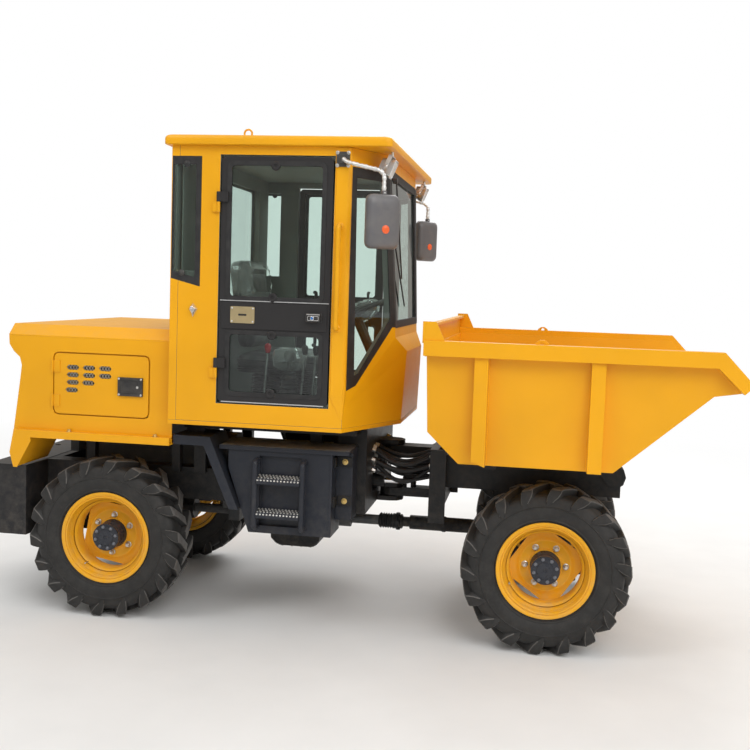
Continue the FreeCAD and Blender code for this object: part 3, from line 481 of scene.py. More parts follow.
# straight edges of the wheel's centre: distance of the chord from the axle
CHORD = 145
WHEELS = (
    # name, x, side, turn of the chord gaps and of the nuts in degrees
    ("front_right", 1062.0, -1, 56.0, 0.0), ("front_left", 1062.0, 1, 30.0, 12.0),
    ("rear_right", -1062.0, -1, 80.0, 27.0), ("rear_left", -1062.0, 1, 45.0, 40.0),
)
TREAD = (
    # y from the middle, turn in degrees, radius of the top, width of the top, y and radius of the foot
    (105.5, -5.4, 305, 14, 102, 304), (108.6, -4.0, 324, 30, 98, 318), (110.8, -1.9, 350, 48, 92, 332),
    (110.5, -0.5, 370, 53, 88, 342), (106.0, 0.0, 381, 53, 84, 347), (97.0, 0.7, 386.5, 51, 78, 351),
    (74.0, 2.8, 388, 45, 66, 356), (44.0, 6.0, 389, 41, 42, 359), (14.0, 9.2, 389.8, 40, 14, 361),
    (-9.0, 11.5, 389.5, 43, -9, 361), (-13.0, 11.9, 387, 42, -16, 361),
)


def add_lug(bm, c, half, a0):
    """One slanted bar of the tread, from the shoulder to past the middle."""
    rings = []
    for y, turn, r, wide, fy, fr in TREAD:
        ang = a0 + radians(turn)
        radial = Vector((sin(ang), 0, cos(ang)))
        tang = Vector((cos(ang), 0, -sin(ang)))
        top = c + Vector((0, half * y / 1000, 0)) + radial * (r / 1000)
        foot = c + Vector((0, half * fy / 1000, 0)) + radial * (fr / 1000)
        low = top + (foot - top).normalized() * 0.005
        e = wide * 0.5
        edge = (
            (foot, -e - 5), (low, -e - 0.5), (top, 2.5 - e), (top, e - 2.5), (low, e + 0.5), (foot, e + 5),
        )
        rings.append([bm.verts.new(p + tang * (way / 1000)) for p, way in edge])
    for k, (ra, rb) in enumerate(zip(rings, rings[1:])):
        for m in range(5):
            f = bm.faces.new([ra[m], ra[m + 1], rb[m + 1], rb[m]])
            # lighter rubber: a painted highlight on the chamfers, and wear with a painted highlight on the
            # top past the shoulder
            f.material_index = int(m in (1, 3) and k > 0 or m == 2 and k > 3)
        bm.faces.new([ra[5], ra[0], rb[0], rb[5]])
    bm.faces.new(rings[0])
    bm.faces.new(rings[-1][::-1])


def tyre_mesh(name, x, sgn):
    """Carcass with bead guard and shoulder, and slanted bars with bevelled tops, lighter with wear and a
    painted highlight.
    """
    bm = bmesh.new()
    c = at(x, sgn * TYRE_Y, AXLE_Z)
    rows = [
        (-81, BEAD_R + 1), (-83, FLANGE_R - 6), (-84, FLANGE_R + 3), (-88, FLANGE_R + 7),
        (-94, FLANGE_R + 9), (-96, FLANGE_R + 13), (-95, FLANGE_R + 18), (-99, 252), (-104, 268),
        (-106, 282), (-106.5, 295), (-109, 297), (-109, 300), (-106, 302), (-103.5, 318), (-100, 332),
        (-94, 345), (-84, 353), (-66, 358), (-36, 361), (0, 362),
    ]
    rows += [(-y, r) for y, r in rows[-2::-1]]
    spin(bm, rows, c, (0, 1, 0), 144)
    # the bars are a mesh of their own before they join the carcass
    lugs = bmesh.new()
    for i in range(LUGS):
        for half, start in ((sgn, 0.0), (-sgn, 0.5)):
            add_lug(lugs, c, half, 2 * pi * (i + start) / LUGS + radians(FIRST_LUG))
    me = bpy.data.meshes.new("Bars")
    lugs.to_mesh(me)
    lugs.free()
    bm.from_mesh(me)
    bpy.data.meshes.remove(me)
    finish("tread_" + name, bm, "rubber lug", "wheel_" + name, angle=27, replaces=("tyre_" + name,))


def around(t):
    """Outward from the axle, at an angle."""
    return Vector((1, 0, 0)) * cos(t) + Vector((0, 0, 1)) * sin(t)


def rim_mesh(name, x, sgn, slots_at, nuts_at):
    bm = bmesh.new()
    c = at(x, sgn * TYRE_Y, AXLE_Z)
    out = Vector((0, sgn, 0))
    w = FLANGE_Y - TYRE_Y
    f, b = FLANGE_R, BEAD_R
    # rolled flange, lock ring groove, gutter and drop centre, seen from both ends
    rows = [
        (w - 7, b), (w - 7, f - 8), (w - 6, f - 2), (w - 3, f), (w - 1, f - 1), (w, f - 4), (w, f - 9),
        (w - 2, f - 12), (w - 3, f - 18), (w - 6, f - 19), (w - 6, f - 21), (w - 3, f - 22), (w - 4, f - 27),
        (w - 9, b - 7), (w - 18, b - 10), (w - 30, b - 12), (w - 33, b - 16), (w - 38, b - 19),
        (w - 46, b - 25), (w - 54, b - 33), (w - 62, b - 37), (-w + 58, b - 38), (-w + 44, b - 16),
        (-w + 20, b - 8), (-w + 8, b + 4), (-w, f - 6), (-w + 3, f), (-w + 7, f - 4), (-w + 8, b),
        (-w + 60, b - 34), (w - 60, b - 34), (w - 7, b),
    ]
    spin(bm, rows, c, out, 144)
    # pressed centre: raised boss and bolt ring, and four straight chords that leave gaps to the ring
    disc = w - 112
    dent = [
        (8, 66), (8, 76), (3, 79), (3, 112), (6, 116), (6, 121), (2, 126), (-1, 133), (-3, 140),
        (-3, b - 36),
    ]
    layers = [], []
    for k, (along, r) in enumerate(dent):
        for layer, depth in zip(layers, (0, 9)):
            ring = []
            for t in turns(180):
                q = (t - radians(slots_at) + pi / 4) % (pi / 2) - pi / 4
                keep = min(r, CHORD / max(cos(q), 0.1)) if k > 6 else r
                mid = c + out * ((disc + along - depth) / 1000)
                ring.append(bm.verts.new(mid + around(t) * (keep / 1000)))
            layer.append(ring)
    for layer in layers:
        join_all(bm, layer, cap=False)
    join(bm, layers[0][-1], layers[1][-1])
    body, node = "wheel_" + name, "rim_" + name
    finish("wheel_ring_" + name, bm, "rim", body, angle=42, replaces=(node,))
    # hub drum with its cap and screws
    hub = bmesh.new()
    drum = [
        (0, 71), (10, 71), (13, 69), (84, 67), (86, 65.5), (88, 67), (99, 67), (102, 65.5), (103, 63),
        (103.5, 40), (106, 38), (106, 9), (103, 7), (102, 0),
    ]
    spin(hub, [(disc + along, r) for along, r in drum], c, out, 72)
    for i in range(8):
        p = c + around(2 * pi * (i + 0.3) / 8) * 0.0525 + out * ((disc + 103) / 1000)
        spin(hub, [(0, 8.6), (1.4, 8.6), (1.8, 7.2), (6.4, 7.2), (8.0, 5.6), (8.0, 0)], p, out, 12, 1)
    finish("hub_" + name, hub, "hub screw", body, angle=40, slot=NODE_SLOT[node])
    nuts = bmesh.new()
    for i in range(6):
        p = c + around(radians(nuts_at + 60 * i)) * 0.095 + out * ((disc + 3) / 1000)
        spin(nuts, [(0, 15.5), (3, 15.5), (5, 12.5), (5, 0)], p, out, 20)
        spin(nuts, [(4, 12.2), (16, 12.2), (18.5, 10.4), (18.5, 0)], p, out, 6)
        spin(nuts, [(18, 7), (26, 7), (27, 6), (27, 0)], p, out, 14)
    # valve
    p = c + around(radians(nuts_at + 205)) * 0.176 + out * ((w - 52) / 1000)
    rod(nuts, p, p + out * 0.034, 4.2, 10)
    finish("nuts_" + name, nuts, "steel", body, angle=40, slot=NODE_SLOT[node])


for wheel, x, sgn, slots_at, nuts_at in WHEELS:
    tyre_mesh(wheel, x, sgn)
    rim_mesh(wheel, x, sgn, slots_at, nuts_at)

# Bodywork with rounded edges

CAB_Y = 775.0
HOOD_Y = 700.0
# metres: underside of the skip's floor
SKIP_FLOOR_Z = 0.887
# middle of the cab
CAB_X = -290
# the slanted corner beside the windscreen: its direction, and its foot and rise
CORNER_NORMAL = (0.892, 0.452)
CORNER_Z = 1415.0
CORNER_RISE = 853.0


def faces_cab(centre, normal):
    """True for a skin that looks into the cab."""
    way = Vector((centre.x - at(CAB_X, 0, 0).x, centre.y, 0))
    return way.normalized().dot(normal) < -0.35


def under_pane(centre):
    """True for the sunk edge that a side pane is glued to."""
    return 0.7655 < abs(centre.y) < 0.7740


def side_inside(centre, normal):
    return abs(normal.y) < 0.1 or under_pane(centre) or faces_cab(centre, normal)


def nose_inside(centre, normal):
    """Also the sawn edges of the openings, which stand square to their panels."""
    corner = Vector((CORNER_NORMAL[0], copysign(CORNER_NORMAL[1], centre.y), 0))
    inward = Vector((at(CAB_X, 0, 0).x - centre.x, -centre.y, 0)).normalized()
    return min(abs(normal.dot(corner)), abs(normal.x)) < 0.1 or normal.dot(inward) > 0.05


def back_inside(centre, normal):
    return abs(normal.x) < 0.1 and abs(centre.y) < 0.6 or under_pane(centre) or faces_cab(centre, normal)


def faces_up(centre, normal):
    return normal.z > 0.9


def hangs_below(centre, normal):
    return centre.z < SKIP_FLOOR_Z


def is_latch(centre, normal):
    return abs(centre.y) > 0.7006 and at(-985, 0, 0).x < centre.x and 1.09 < centre.z < 1.19


def rounded_copy(node, width, mats, test):
    """The node's own solid with real rounded edges; faces that pass the test take the second material."""
    bm = bmesh.new()
    bm.from_mesh(bpy.data.objects[node].data)
    bmesh.ops.remove_doubles(bm, verts=bm.verts, dist=0.00002)
    # sheets with a window keep their triangles, so that the opening stays open
    if node not in ("cab_nose", "cab_back"):
        bmesh.ops.dissolve_limit(bm, angle_limit=radians(0.6), verts=bm.verts, edges=bm.edges)
    bm.normal_update()
    if test:
        for f in bm.faces:
            f.material_index = int(test(f.calc_center_median(), f.normal))
    # the nose's folds are shallow, and stay crisp
    angle = 5.0 if node == "cab_nose" else 28.0
    finish(node + "_rounded", bm, mats, NODE_BODY[node], bevel=width, angle=angle, replaces=(node,))


ROUNDED = (
    # nodes, edge radius in mm, materials, which faces take the second
    ("hood", 4.0, "yellow", None),
    ("hood_side_right hood_side_left", 1.2, "yellow", None),
    ("hood_lid_right hood_lid_left", 0.8, "yellow plastic", is_latch),
    ("fender_right fender_left", 1.6, "yellow", None),
    # the second material of the cab's panels is the painted shade of the cab's inside
    ("cab_floor", 1.5, "yellow lining", faces_up),
    ("cab_nose", 2.5, "yellow lining", nose_inside),
    ("cab_back", 1.5, "yellow lining", back_inside),
    ("cab_side_right cab_side_left", 2.5, "yellow lining", side_inside),
    ("skip", 2.0, "yellow chassis", hangs_below),
    ("skip_side_right skip_side_left", 2.5, "yellow", None),
    ("counterweight", 5.0, "black", None),
    ("mudguards", 2.0, "grey", None),
    ("rear_frame pivot_tower front_frame", 2.0, "chassis", None),
    ("rear_axle front_axle", 3.0, "chassis", None),
    ("door_right door_left", 2.5, "door", None),
)
for nodes, width, mats, test in ROUNDED:
    for node in nodes.split():
        rounded_copy(node, width, mats, test)
for node, slot in NODE_SLOT.items():
    dress(node, M[SLOTS[slot]])

# Flat frames and plates on the body's faces


def corner_loop(u0, u1, v0, v1, r, n=5):
    """A rectangle with round corners, as (u, v) points."""
    pts = []
    corners = ((u1 - r, v0 + r, 270), (u1 - r, v1 - r, 0), (u0 + r, v1 - r, 90), (u0 + r, v0 + r, 180))
    for cu, cv, start in corners:
        for k in range(n + 1):
            t = radians(start + 90 * k / n)
            pts.append((cu + r * cos(t), cv + r * sin(t)))
    return pts


def add_frame(bm, outer, inner, place, d0, d1, mat=0):
    """A flat frame between two matching loops, from depth d0 to d1 outside the face."""
    rows = [
        [bm.verts.new(place(u, v, d)) for u, v in loop]
        for loop, d in ((outer, d0), (inner, d0), (inner, d1), (outer, d1))
    ]
    join_all(bm, rows + rows[:1], mat, cap=False)


def add_round_frame(bm, box, r, inset, inner_r, place, d0, d1, mat=0):
    """A flat frame of even width with round corners."""
    u0, u1, v0, v1 = box
    inner = corner_loop(u0 + inset, u1 - inset, v0 + inset, v1 - inset, inner_r)
    add_frame(bm, corner_loop(*box, r), inner, place, d0, d1, mat)


def add_plate(bm, loop, place, d0, d1, mat=0):
    add_prism(bm, *([place(u, v, d) for u, v in loop] for d in (d0, d1)), mat)


def add_stack(bm, rows, place, mat=0, cap=True):
    """Round-cornered loops laid one on another: rows of (depth, half width, half height, corner)."""
    rings = [
        [bm.verts.new(place(u, v, d)) for u, v in corner_loop(-hw, hw, -hh, hh, min(r, hw, hh) - 0.01, 6)]
        for d, hw, hh, r in rows
    ]
    join_all(bm, rings, mat, cap)
    return rings


def over(x, y, z=0):
    """Points around a spot seen from above: x, y and height from it."""
    return lambda u, v, d: at(x + u, y + v, z + d)


def on_side(sgn, y=CAB_Y):
    """Points on a side wall: x, z and the depth outside it."""
    return lambda u, v, d: at(u, sgn * (y + d), v)


def corner_share(z):
    """How far up the slanted corner z lies: 0 at its foot, 1 at its top."""
    return (z - CORNER_Z) / CORNER_RISE


def on_corner(sgn):
    """Points on the slanted corner beside the windscreen: share of its width, z, depth."""
    nx, ny = CORNER_NORMAL

    def place(u, v, d):
        k = corner_share(v)
        reach = 182.0 - 50.0 * k
        wide = 359.0 - 98.6 * k
        return at(120 + reach * u + nx * d, sgn * (CAB_Y - wide * u + ny * d), v)
    return place


def on_screen(u, v, d):
    """Points on the windscreen: y, z, depth."""
    return at(302.0 - 0.0586 * (v - CORNER_Z) + d, u, v)


def on_back(u, v, d):
    return at(-705.0 - d, u, v)


# Windows, posts and lining of the cab, the lining a painted shade

seals = bmesh.new()
clips = bmesh.new()
for sgn in (-1, 1):
    wall, corner = on_side(sgn), on_corner(sgn)
    add_frame(
        seals, [(-701, 1664), (-701, 2219), (-563, 2219), (-563, 1630)],
        [(-694, 1697), (-694, 2182), (-588, 2182), (-588, 1670)], wall, 0.6, -5,
    )
    add_frame(
        seals, [(0.06, 2185), (0.955, 2185), (0.955, 1470), (0.87, 1440), (0.22, 1199), (0.06, 1179)],
        [(0.19, 2140), (0.90, 2140), (0.90, 1502), (0.83, 1477), (0.27, 1254), (0.19, 1244)],
        corner, 1.2, -5,
    )
    for x, z in ((-632, 2184), (-650, 1690)):
        stud(clips, wall(x, z, -1), (0, sgn, 0), 15, 8)
        stud(clips, wall(x, z, 6), (0, sgn, 0), 7, 5)
    # dark edge between the slanted corner and the windscreen
    loops = []
    for z in (1464, 2206):
        y = sgn * (416.0 + 98.6 * corner_share(z))
        loops.append([
            corner(0.935, z, -2), corner(0.935, z, 1.6), corner(0.995, z, 2.4), on_screen(y * 0.985, z, 3.0),
            on_screen(y - sgn * 34, z, 2.4), on_screen(y - sgn * 34, z, -2),
        ])
    add_prism(seals, loops[0], loops[1])
add_frame(
    seals, [(-410, 1460), (410, 1460), (470, 2211), (-470, 2211)],
    [(-378, 1496), (378, 1496), (436, 2172), (-436, 2172)], on_screen, 2.6, -7,
)
add_round_frame(seals, (-574, 574, 1456, 2204), 40, 28, 24, on_back, 4, -6)
finish("window_seals", seals, "seal", bevel=0.8, segments=1, slot="plastic")
finish("window_clips", clips, "plastic", slot="plastic")

# x and y around the corner post at the top, and around its pointed foot
POST = ((64, 774.6), (64, 780), (106, 780), (118, 777.5), (128, 769), (131.3, 756), (129, 752), (118, 772))
POST_FOOT = (
    (112, 774.6), (112, 776), (116, 776.5), (119, 776), (121, 774), (122, 771), (121, 770), (118, 772),
)
posts = bmesh.new()
for sgn in (-1, 1):
    top, low, foot = (
        [at(x, sgn * y, z) for x, y in plan] for plan, z in ((POST, 2264), (POST, 1150), (POST_FOOT, 1050))
    )
    add_prism(posts, top, low)
    add_prism(posts, low, foot)
finish("cab_posts", posts, "yellow", bevel=2.2, angle=20, slot="paint_yellow")

# dark sheets inside the back wall and under the yellow roof: painted shade of the cab's inside
lining = bmesh.new()
add_frame(lining, [(-736, 1009), (736, 1009), (736, 2262), (-736, 2262)],
          [(-552, 1478), (552, 1478), (552, 2182), (-552, 2182)], on_back, -38.5, -44)
head = [(-664, -735), (100, -735), (205, -488), (205, 488), (100, 735), (-664, 735)]
add_plate(lining, head, at, 2256, 2267)
add_plate(lining, corner_loop(-560, -80, -260, 260, 40), lambda u, v, d: at(u, v, 2256 - d), 0, 10)
finish("cab_painted_shade_lining", lining, "lining", bevel=1.5, slot="plastic")

# Roof with a soft upper edge, and its lifting eyes

roof = bmesh.new()
add_stack(
    roof,
    ((2268, 519.5, 799, 26), (2271, 524.5, 804, 29), (2274, 525.5, 805, 30), (2296, 525.5, 805, 30),
     (2302, 524, 803.5, 30), (2308, 520, 799.5, 28), (2312, 513, 792.5, 26), (2314, 504, 783.5, 24)),
    over(-212.5, 0),
)
finish("roof_skin", roof, "yellow", angle=30, replaces=("cab_roof",), slot="paint_yellow")
eyes = bmesh.new()
for sgn in (-1, 1):
    c = at(-370, sgn * 700, 2333)
    ring = [c + Vector((sin(t), 0, cos(t))) * 0.0178 for t in turns(28)[:27]]
    add_tube(eyes, ring + [ring[0]], 4.4, 10)
    spin(eyes, [(0, 15), (2, 15), (3, 9), (5, 8), (5, 0)], at(-370, sgn * 700, 2313), (0, 0, 1), 20)
finish("lifting_eyes", eyes, "yellow", slot="paint_yellow")

# Doors: window seals, belt panel, plate, latch and clips


def door_trim(sgn, body):
    wall = on_side(sgn)
    out = (0, sgn, 0)
    bm = bmesh.new()
    for box in ((-440, 21, 1571, 2201), (-436, 23, 1133, 1437)):
        add_round_frame(bm, box, 30, 21, 16, wall, 2.5, -9, 1)
    # belt panel with silver strips above and below, painted highlights along the upper pane's lower edge and
    # the door's bottom edge, and the blank plate with its slot
    add_plate(bm, corner_loop(-456, 38, 1443, 1564, 8), wall, 0, 4, 0)
    add_plate(bm, [(-463, 1569), (45, 1569), (45, 1573), (-463, 1573)], wall, 0, 3.2, 2)
    add_plate(bm, [(-450, 1103), (32, 1103), (32, 1108), (-450, 1108)], wall, -1, 2.2, 2)
    add_plate(bm, corner_loop(-412, -298, 1469, 1545, 5), wall, 3, 6.4, 3)
    add_plate(bm, corner_loop(-375, -335, 1503, 1512, 4), wall, 6, 6.9, 0)
    for x in (-404, -306):
        for z in (1477, 1537):
            stud(bm, wall(x, z, 6.2), out, 4.2, 3, 2, 10)
    for z in (2180, 1590, 1418, 1152):
        spin(bm, [(0, 21), (12, 21), (15, 18), (15, 9), (11, 7), (11, 0)], wall(-216, z, -6), out, 24, 0)
    # latch: escutcheon, chrome lip, lock barrel
    add_plate(bm, corner_loop(-60, 18, 1485, 1527, 9), wall, 3, 9, 4)
    add_plate(bm, corner_loop(-51, 11, 1488.5, 1523, 6), wall, 18, 30.6, 4)
    add_plate(bm, corner_loop(-50, 10, 1519, 1523.5, 2), wall, 24, 31.6, 5)
    add_round_frame(bm, (-46, 6, 1493, 1515), 5, 3, 3, wall, 31.4, 30, 5)
    spin(bm, [(0, 9), (2.5, 9), (3, 8), (3, 0)], wall(-24, 1504, 29.5), out, 20, 5)
    spin(bm, [(0, 6.5), (4, 6.5), (4.6, 5.5), (4.6, 0)], wall(-24, 1504, 29.5), out, 20, 6)
    # inner pull handle
    bends = ((739, 1380), (705, 1380), (705, 1620), (739, 1620))
    add_tube(bm, smooth_path([at(-30, sgn * y, z) for y, z in bends], 22), 8, 10, 4)
    finish("trim_" + body, bm, "door seal silver brass plastic chrome blue", body, bevel=0.9, angle=38,
           slot="door_black")


door_trim(-1, "door_right")
door_trim(1, "door_left")

# Catch for the open door, grab rails

catch = bmesh.new()
for sgn in (-1, 1):
    wall = on_side(sgn)
    kite = [(-592, 1488), (-570, 1526), (-592, 1554), (-615, 1526)]
    tip = [(-592 + (u + 592) * 0.55, 1526 + (v - 1526) * 0.55) for u, v in kite]
    layers = ((kite, 0), (kite, 3), (tip, 15))
    rings = [[catch.verts.new(wall(u, v, d)) for u, v in loop] for loop, d in layers]
    join_all(catch, rings, cap=False)
    catch.faces.new(rings[-1])
    stud(catch, wall(-594, 1532, 14), (0, sgn, 0), 8, 8)
finish("door_catches", catch, "chrome", bevel=1.0, slot="steel")

rails = bmesh.new()
for sgn in (-1, 1):
    y0, y = sgn * (CAB_Y + 6), sgn * 812
    path = smooth_path([at(86, y0, 1461), at(86, y, 1461), at(86, y, 1919), at(86, y0, 1919)], 34, 8)
    add_tube(rails, path, 11, 16)
    for z in (1461, 1919):
        spin(rails, [(0, 17), (2, 17), (5, 12), (5, 0)], at(86, sgn * (CAB_Y + 5), z), (0, sgn, 0), 20)
finish("grab_rails_bent", rails, "yellow", replaces=("grab_rails",))

# Mirrors on wrapped arms, and work lamps


def mirror_set(name, sgn, turn):
    c, s = cos(radians(turn)), sin(radians(turn))

    def place(u, v, d):
        return at(290 + d * c - u * s, -sgn * (-850 + d * s + u * c), 1938 + v)

    bm = bmesh.new()
    add_stack(bm, (
        (-22, 72, 110, 24), (-25, 74, 112, 26), (-25, 77, 115, 28), (-20, 80, 118, 30), (4, 80, 118, 30),
        (13, 77, 115, 32), (20, 69, 107, 36), (24, 54, 92, 38), (25, 36, 74, 34),
    ), place)
    add_plate(bm, corner_loop(-71, 71, -109, 109, 23), place, -22.5, -21, 1)
    out = place(0, 0, 1) - place(0, 0, 0)
    spin(bm, [(0, 18.5), (2.2, 18.5), (3.2, 16), (3.6, 0)], place(0, -34, 24.2), out, 28, 2)
    add_round_frame(bm, (-18, 18, 50, 58), 3.5, 1.5, 2, place, 25.4, 23)
    add_stack(bm, ((-9, 10, 16, 5), (9, 10, 16, 5)), lambda u, v, d: place(u, 118 + v, d))
    # bracket on the cab's corner, with four screws
    wall = on_side(sgn)
    for x, rows in ((92, ((0.5, 30, 33, 5), (11, 30, 33, 5), (14, 26, 29, 5))),
                    (94, ((13, 19, 22, 8), (22, 17, 20, 8)))):
        add_stack(bm, rows, lambda u, v, d: wall(x + u, 2213 + v, d), 3)
    for x in (67, 117):
        for z in (2185, 2241):
            bolt(bm, wall(x, z, 12), (0, sgn, 0), 9, 5, 4)
    bends = ((95, 790, 2214), (112, 806, 2200), (150, 832, 2188), (268, 850, 2160), (290, 850, 2140),
             (290, 850, 2050))
    base = smooth_path([at(x, sgn * y, z) for x, y, z in bends], 30, 7)
    path = []
    for a, b in zip(base, base[1:]):
        steps = max(1, int((b - a).length / 0.006))
        path += [a.lerp(b, k / steps) for k in range(steps)]
    path.append(base[-1])
    # the arm's wrapping swells and narrows
    radii = [9.4 + 1.3 * sin(k * 1.9) + 0.8 * sin(k * 0.83 + 1) for k in range(len(path))]
    add_tube(bm, path, 9, 12, 5, radii)
    finish("mirror_" + name, bm, "dark chrome orange plastic steel foil", angle=40,
           replaces=("mirrors",) if sgn < 0 else (), slot=NODE_SLOT["mirrors"])


mirror_set("right", -1, -50)
mirror_set("left", 1, 35)

lamps = bmesh.new()
for sgn in (-1, 1):
    def place(u, v, d, sgn=sgn):
        return at(268 + 0.92 * d + 0.39 * v, sgn * (626 + u), 2199 + 0.92 * v - 0.39 * d)

    add_stack(lamps, (
        (-31, 24, 22, 8), (-29, 30, 28, 11), (-14, 36, 34, 14), (6, 42, 39, 15), (12, 45, 42, 15),
        (30, 46, 43, 15), (32, 44.5, 41.5, 14), (32, 41, 38, 12), (27, 39, 36, 11),
    ), place)
    add_stack(lamps, ((26.5, 39, 36, 11), (30, 37, 34, 11), (31, 26, 24, 10)), place, 1)
    for k in range(5):
        add_stack(lamps, [(d + 6 * k, 33 + 2 * k, 31 + 2 * k, 12) for d in (-31, -29)], place)
    for k in (-1, 1):
        strap = ((-10, -9), (-10, 9), (52, 9), (52, -9))
        add_prism(lamps, *([place(u * k, v, d) for v, d in strap] for u in (49, 46)), 2)
        stud(lamps, place(48.5 * k, 0, 0), place(k, 0, 0) - place(0, 0, 0), 7, 5, 2, 12)
    add_plate(lamps, [(-49, 50), (-49, 54), (49, 54), (49, 50)], place, -9, 9, 2)
    rod(lamps, at(288, sgn * 626, 2247), at(288, sgn * 626, 2268), 7, 14, 2)
finish("work_lamp_bodies", lamps, "silver lens foil", angle=40, replaces=("work_lamps",))

wiper = bmesh.new()
rod(wiper, on_screen(-405, 2160, 2), on_screen(-405, 2160, 26), 13, 16)
add_tube(wiper, [on_screen(-405, 2160, 20), on_screen(-376, 1960, 22), on_screen(-255, 1700, 14)], 4, 8)
blade = ((0, 3), (2, 9), (-2, 9))
for u in (0, 5):
    ends = ((u - 388, u + 1838), (u - 122, u + 1562))
    add_prism(wiper, *([on_screen(y + k, z + k, d) for k, d in blade] for y, z in ends))
finish("wiper", wiper, "plastic", slot="plastic")

# Hood lids: honeycomb vents and the recessed latch

# x of the lid's rear edge
LID_X = -1308.0
# cell edges from there, and height of each row of vents
VENTS = (((54, 136, 218, 300), 1222), ((54, 136, 218, 300), 1186), ((54, 136, 212), 1150), ((54, 126), 1113))
for side, sgn in (("right", -1), ("left", 1)):
    bm = bmesh.new()
    wall = on_side(sgn, HOOD_Y)
    for edges, z in VENTS:
        for e0, e1 in zip(edges, edges[1:]):
            x0, x1 = LID_X + e0 - 0.5, LID_X + e1 + 0.5
            xm = (x0 + x1) / 2
            outer = [(x0, z), (x0, z + 12.5), (x1, z + 12.5), (x1, z), (x1, z - 12.5), (x0, z - 12.5)]
            hexagon = ((-33, 0), (-22, 11.5), (22, 11.5), (33, 0), (22, -11.5), (-22, -11.5))
            add_frame(bm, outer, [(xm + u, z + v) for u, v in hexagon], wall, 0.1, -4.8)
            for k in (-2, -1, 0, 1, 2):
                for lean in (-1, 1):
                    ends = [wall(xm + 15 * k + 7 * lean * way, z + 12 * way, -8 - lean) for way in (-1, 1)]
                    add_tube(bm, ends, 1.9, 5, 1)
    add_round_frame(bm, (-981, -859, 1098, 1185), 6, 11, 4, wall, 11, 7.6, 2)
    add_round_frame(bm, (-960, -884, 1114, 1169), 5, 4, 4, wall, 9.6, 7.6, 2)
    for x in (-975, -865):
        for z in (1104, 1179):
            stud(bm, wall(x, z, 10.6), (0, sgn, 0), 5.2, 3.2, 3, 12)
    stud(bm, wall(-884, 1141, 8), (0, sgn, 0), 6, 3, 3, 12)
    finish("lid_trim_" + side, bm, "yellow steel plastic steel", "lid_" + side, angle=40,
           slot="paint_yellow")

bolts = bmesh.new()
for sgn in (-1, 1):
    for x in (-1222, -789):
        bolt(bolts, at(x, sgn * 715, 912), (0, 0, 1), 17, 10)
finish("body_bolts", bolts, "gold", slot="steel")

# Steps: box, folded top plate, ladder of bent tube, perforated treads, bracket plates


def shifted(points, x):
    return [p + at(x, 0, 0) - at(0, 0, 0) for p in points]


def step_set(name, sgn):
    node = "step_" + name
    bm = bmesh.new()
    wall_y, back_y, front_y, lip_y = (sgn * v for v in (440, 450, 655, 668))
    rim = [(-445, 868), (-445, 780), (-340, 472), (60, 472), (60, 868)]
    hole = [(-290, 842), (-290, 508), (-86, 508), (-86, 842)]
    front = {q: bm.verts.new(at(q[0], front_y, q[1])) for q in rim + hole}
    back = [bm.verts.new(at(u, back_y, v)) for u, v in rim]
    inner = [bm.verts.new(at(u, front_y - sgn * 22, v)) for u, v in hole]
    # the front is the area between the rim and the recess
    for loop in (rim[:3] + hole[1::-1], rim[2:4] + hole[2:0:-1], rim[3:] + hole[:1:-1],
                 [rim[4], rim[0], hole[0], hole[3]]):
        bm.faces.new([front[q] for q in loop])
    for pts, far in ((rim, back), (hole, inner)):
        join(bm, [front[q] for q in pts], far)
        bm.faces.new(far)
    # folded top plate, and the bracket with its gusset
    for x0, x1, y, z0, z1 in ((-488, 142, wall_y, 880, 886), (-488, 142, lip_y - sgn * 4, 866, 881),
                              (138, 142, wall_y, 866, 881), (-488, -484, wall_y, 866, 881)):
        add_box(bm, x0, x1, y, lip_y, z0, z1)
    add_box(bm, 60, 140, sgn * 438, sgn * 560, 540, 868)
    gusset = ((48, 868), (48, 480), (60, 472), (60, 868))
    add_prism(bm, *([at(x, sgn * y, z) for x, z in gusset] for y in (650, 657.5)))
    plate = on_side(sgn, 560)
    for z in (822, 633):
        add_plate(bm, corner_loop(74, 138, z - 24, z + 24, 3), plate, -1, 8, 1)
        add_plate(bm, corner_loop(60, 68, z - 26, z + 26, 3), plate, 0, 60, 1)
    finish("step_box_" + name, bm, "grey chassis", bevel=1.6, angle=30, replaces=(node,))
    # ladder
    bm = bmesh.new()
    for x in (-300, -72):
        bends = ((655, 820), (702, 820), (702, 506), (655, 506))
        add_tube(bm, smooth_path([at(x, sgn * y, z) for y, z in bends], 44, 9), 13.5, 16)
    # treads that lean outward, with rows of worn punched holes
    for z in (560, 722):
        section = ((664, 34), (706, 22), (717, 8), (717, -4), (714, -4), (704, 17), (664, 29))
        slope = [at(0, sgn * y, z + rise) for y, rise in section]
        add_prism(bm, shifted(slope, -290), shifted(slope, -82))
        away = Vector((0, sgn * 12, 42)).normalized()
        for i in range(13):
            x = -284 + 16.2 * i
            for j in range(3):
                p = at(x + (8 if j == 1 else 0), sgn * (671 + 14 * j), z + 32 - 4 * j)
                spin(bm, [(-1, 6.4), (2.4, 5.2), (2.4, 3.2), (0.2, 2.8), (0.2, 0)], p, away, 8, 1)
            p = at(x, sgn * 712, z + 13)
            spin(bm, [(-1, 5), (2.4, 4), (2.4, 2.4), (0.6, 0)], p, (0, sgn * 14, 11), 8, 1)
    for z in (822, 633):
        bolt(bm, at(104, sgn * 568, z), (0, sgn, 0), 15, 9, 2)
    finish("step_ladder_" + name, bm, "grey steel gold", slot=NODE_SLOT[node])
    bm = bmesh.new()
    add_box(bm, -484, 138, sgn * 442, sgn * 664, 886, 887.5)
    finish("step_tread_" + name, bm, "tread", slot=NODE_SLOT[node])


step_set("right", -1)
step_set("left", 1)

# Driver's place: bellows, padded seat in its wrapping, levers, wheel


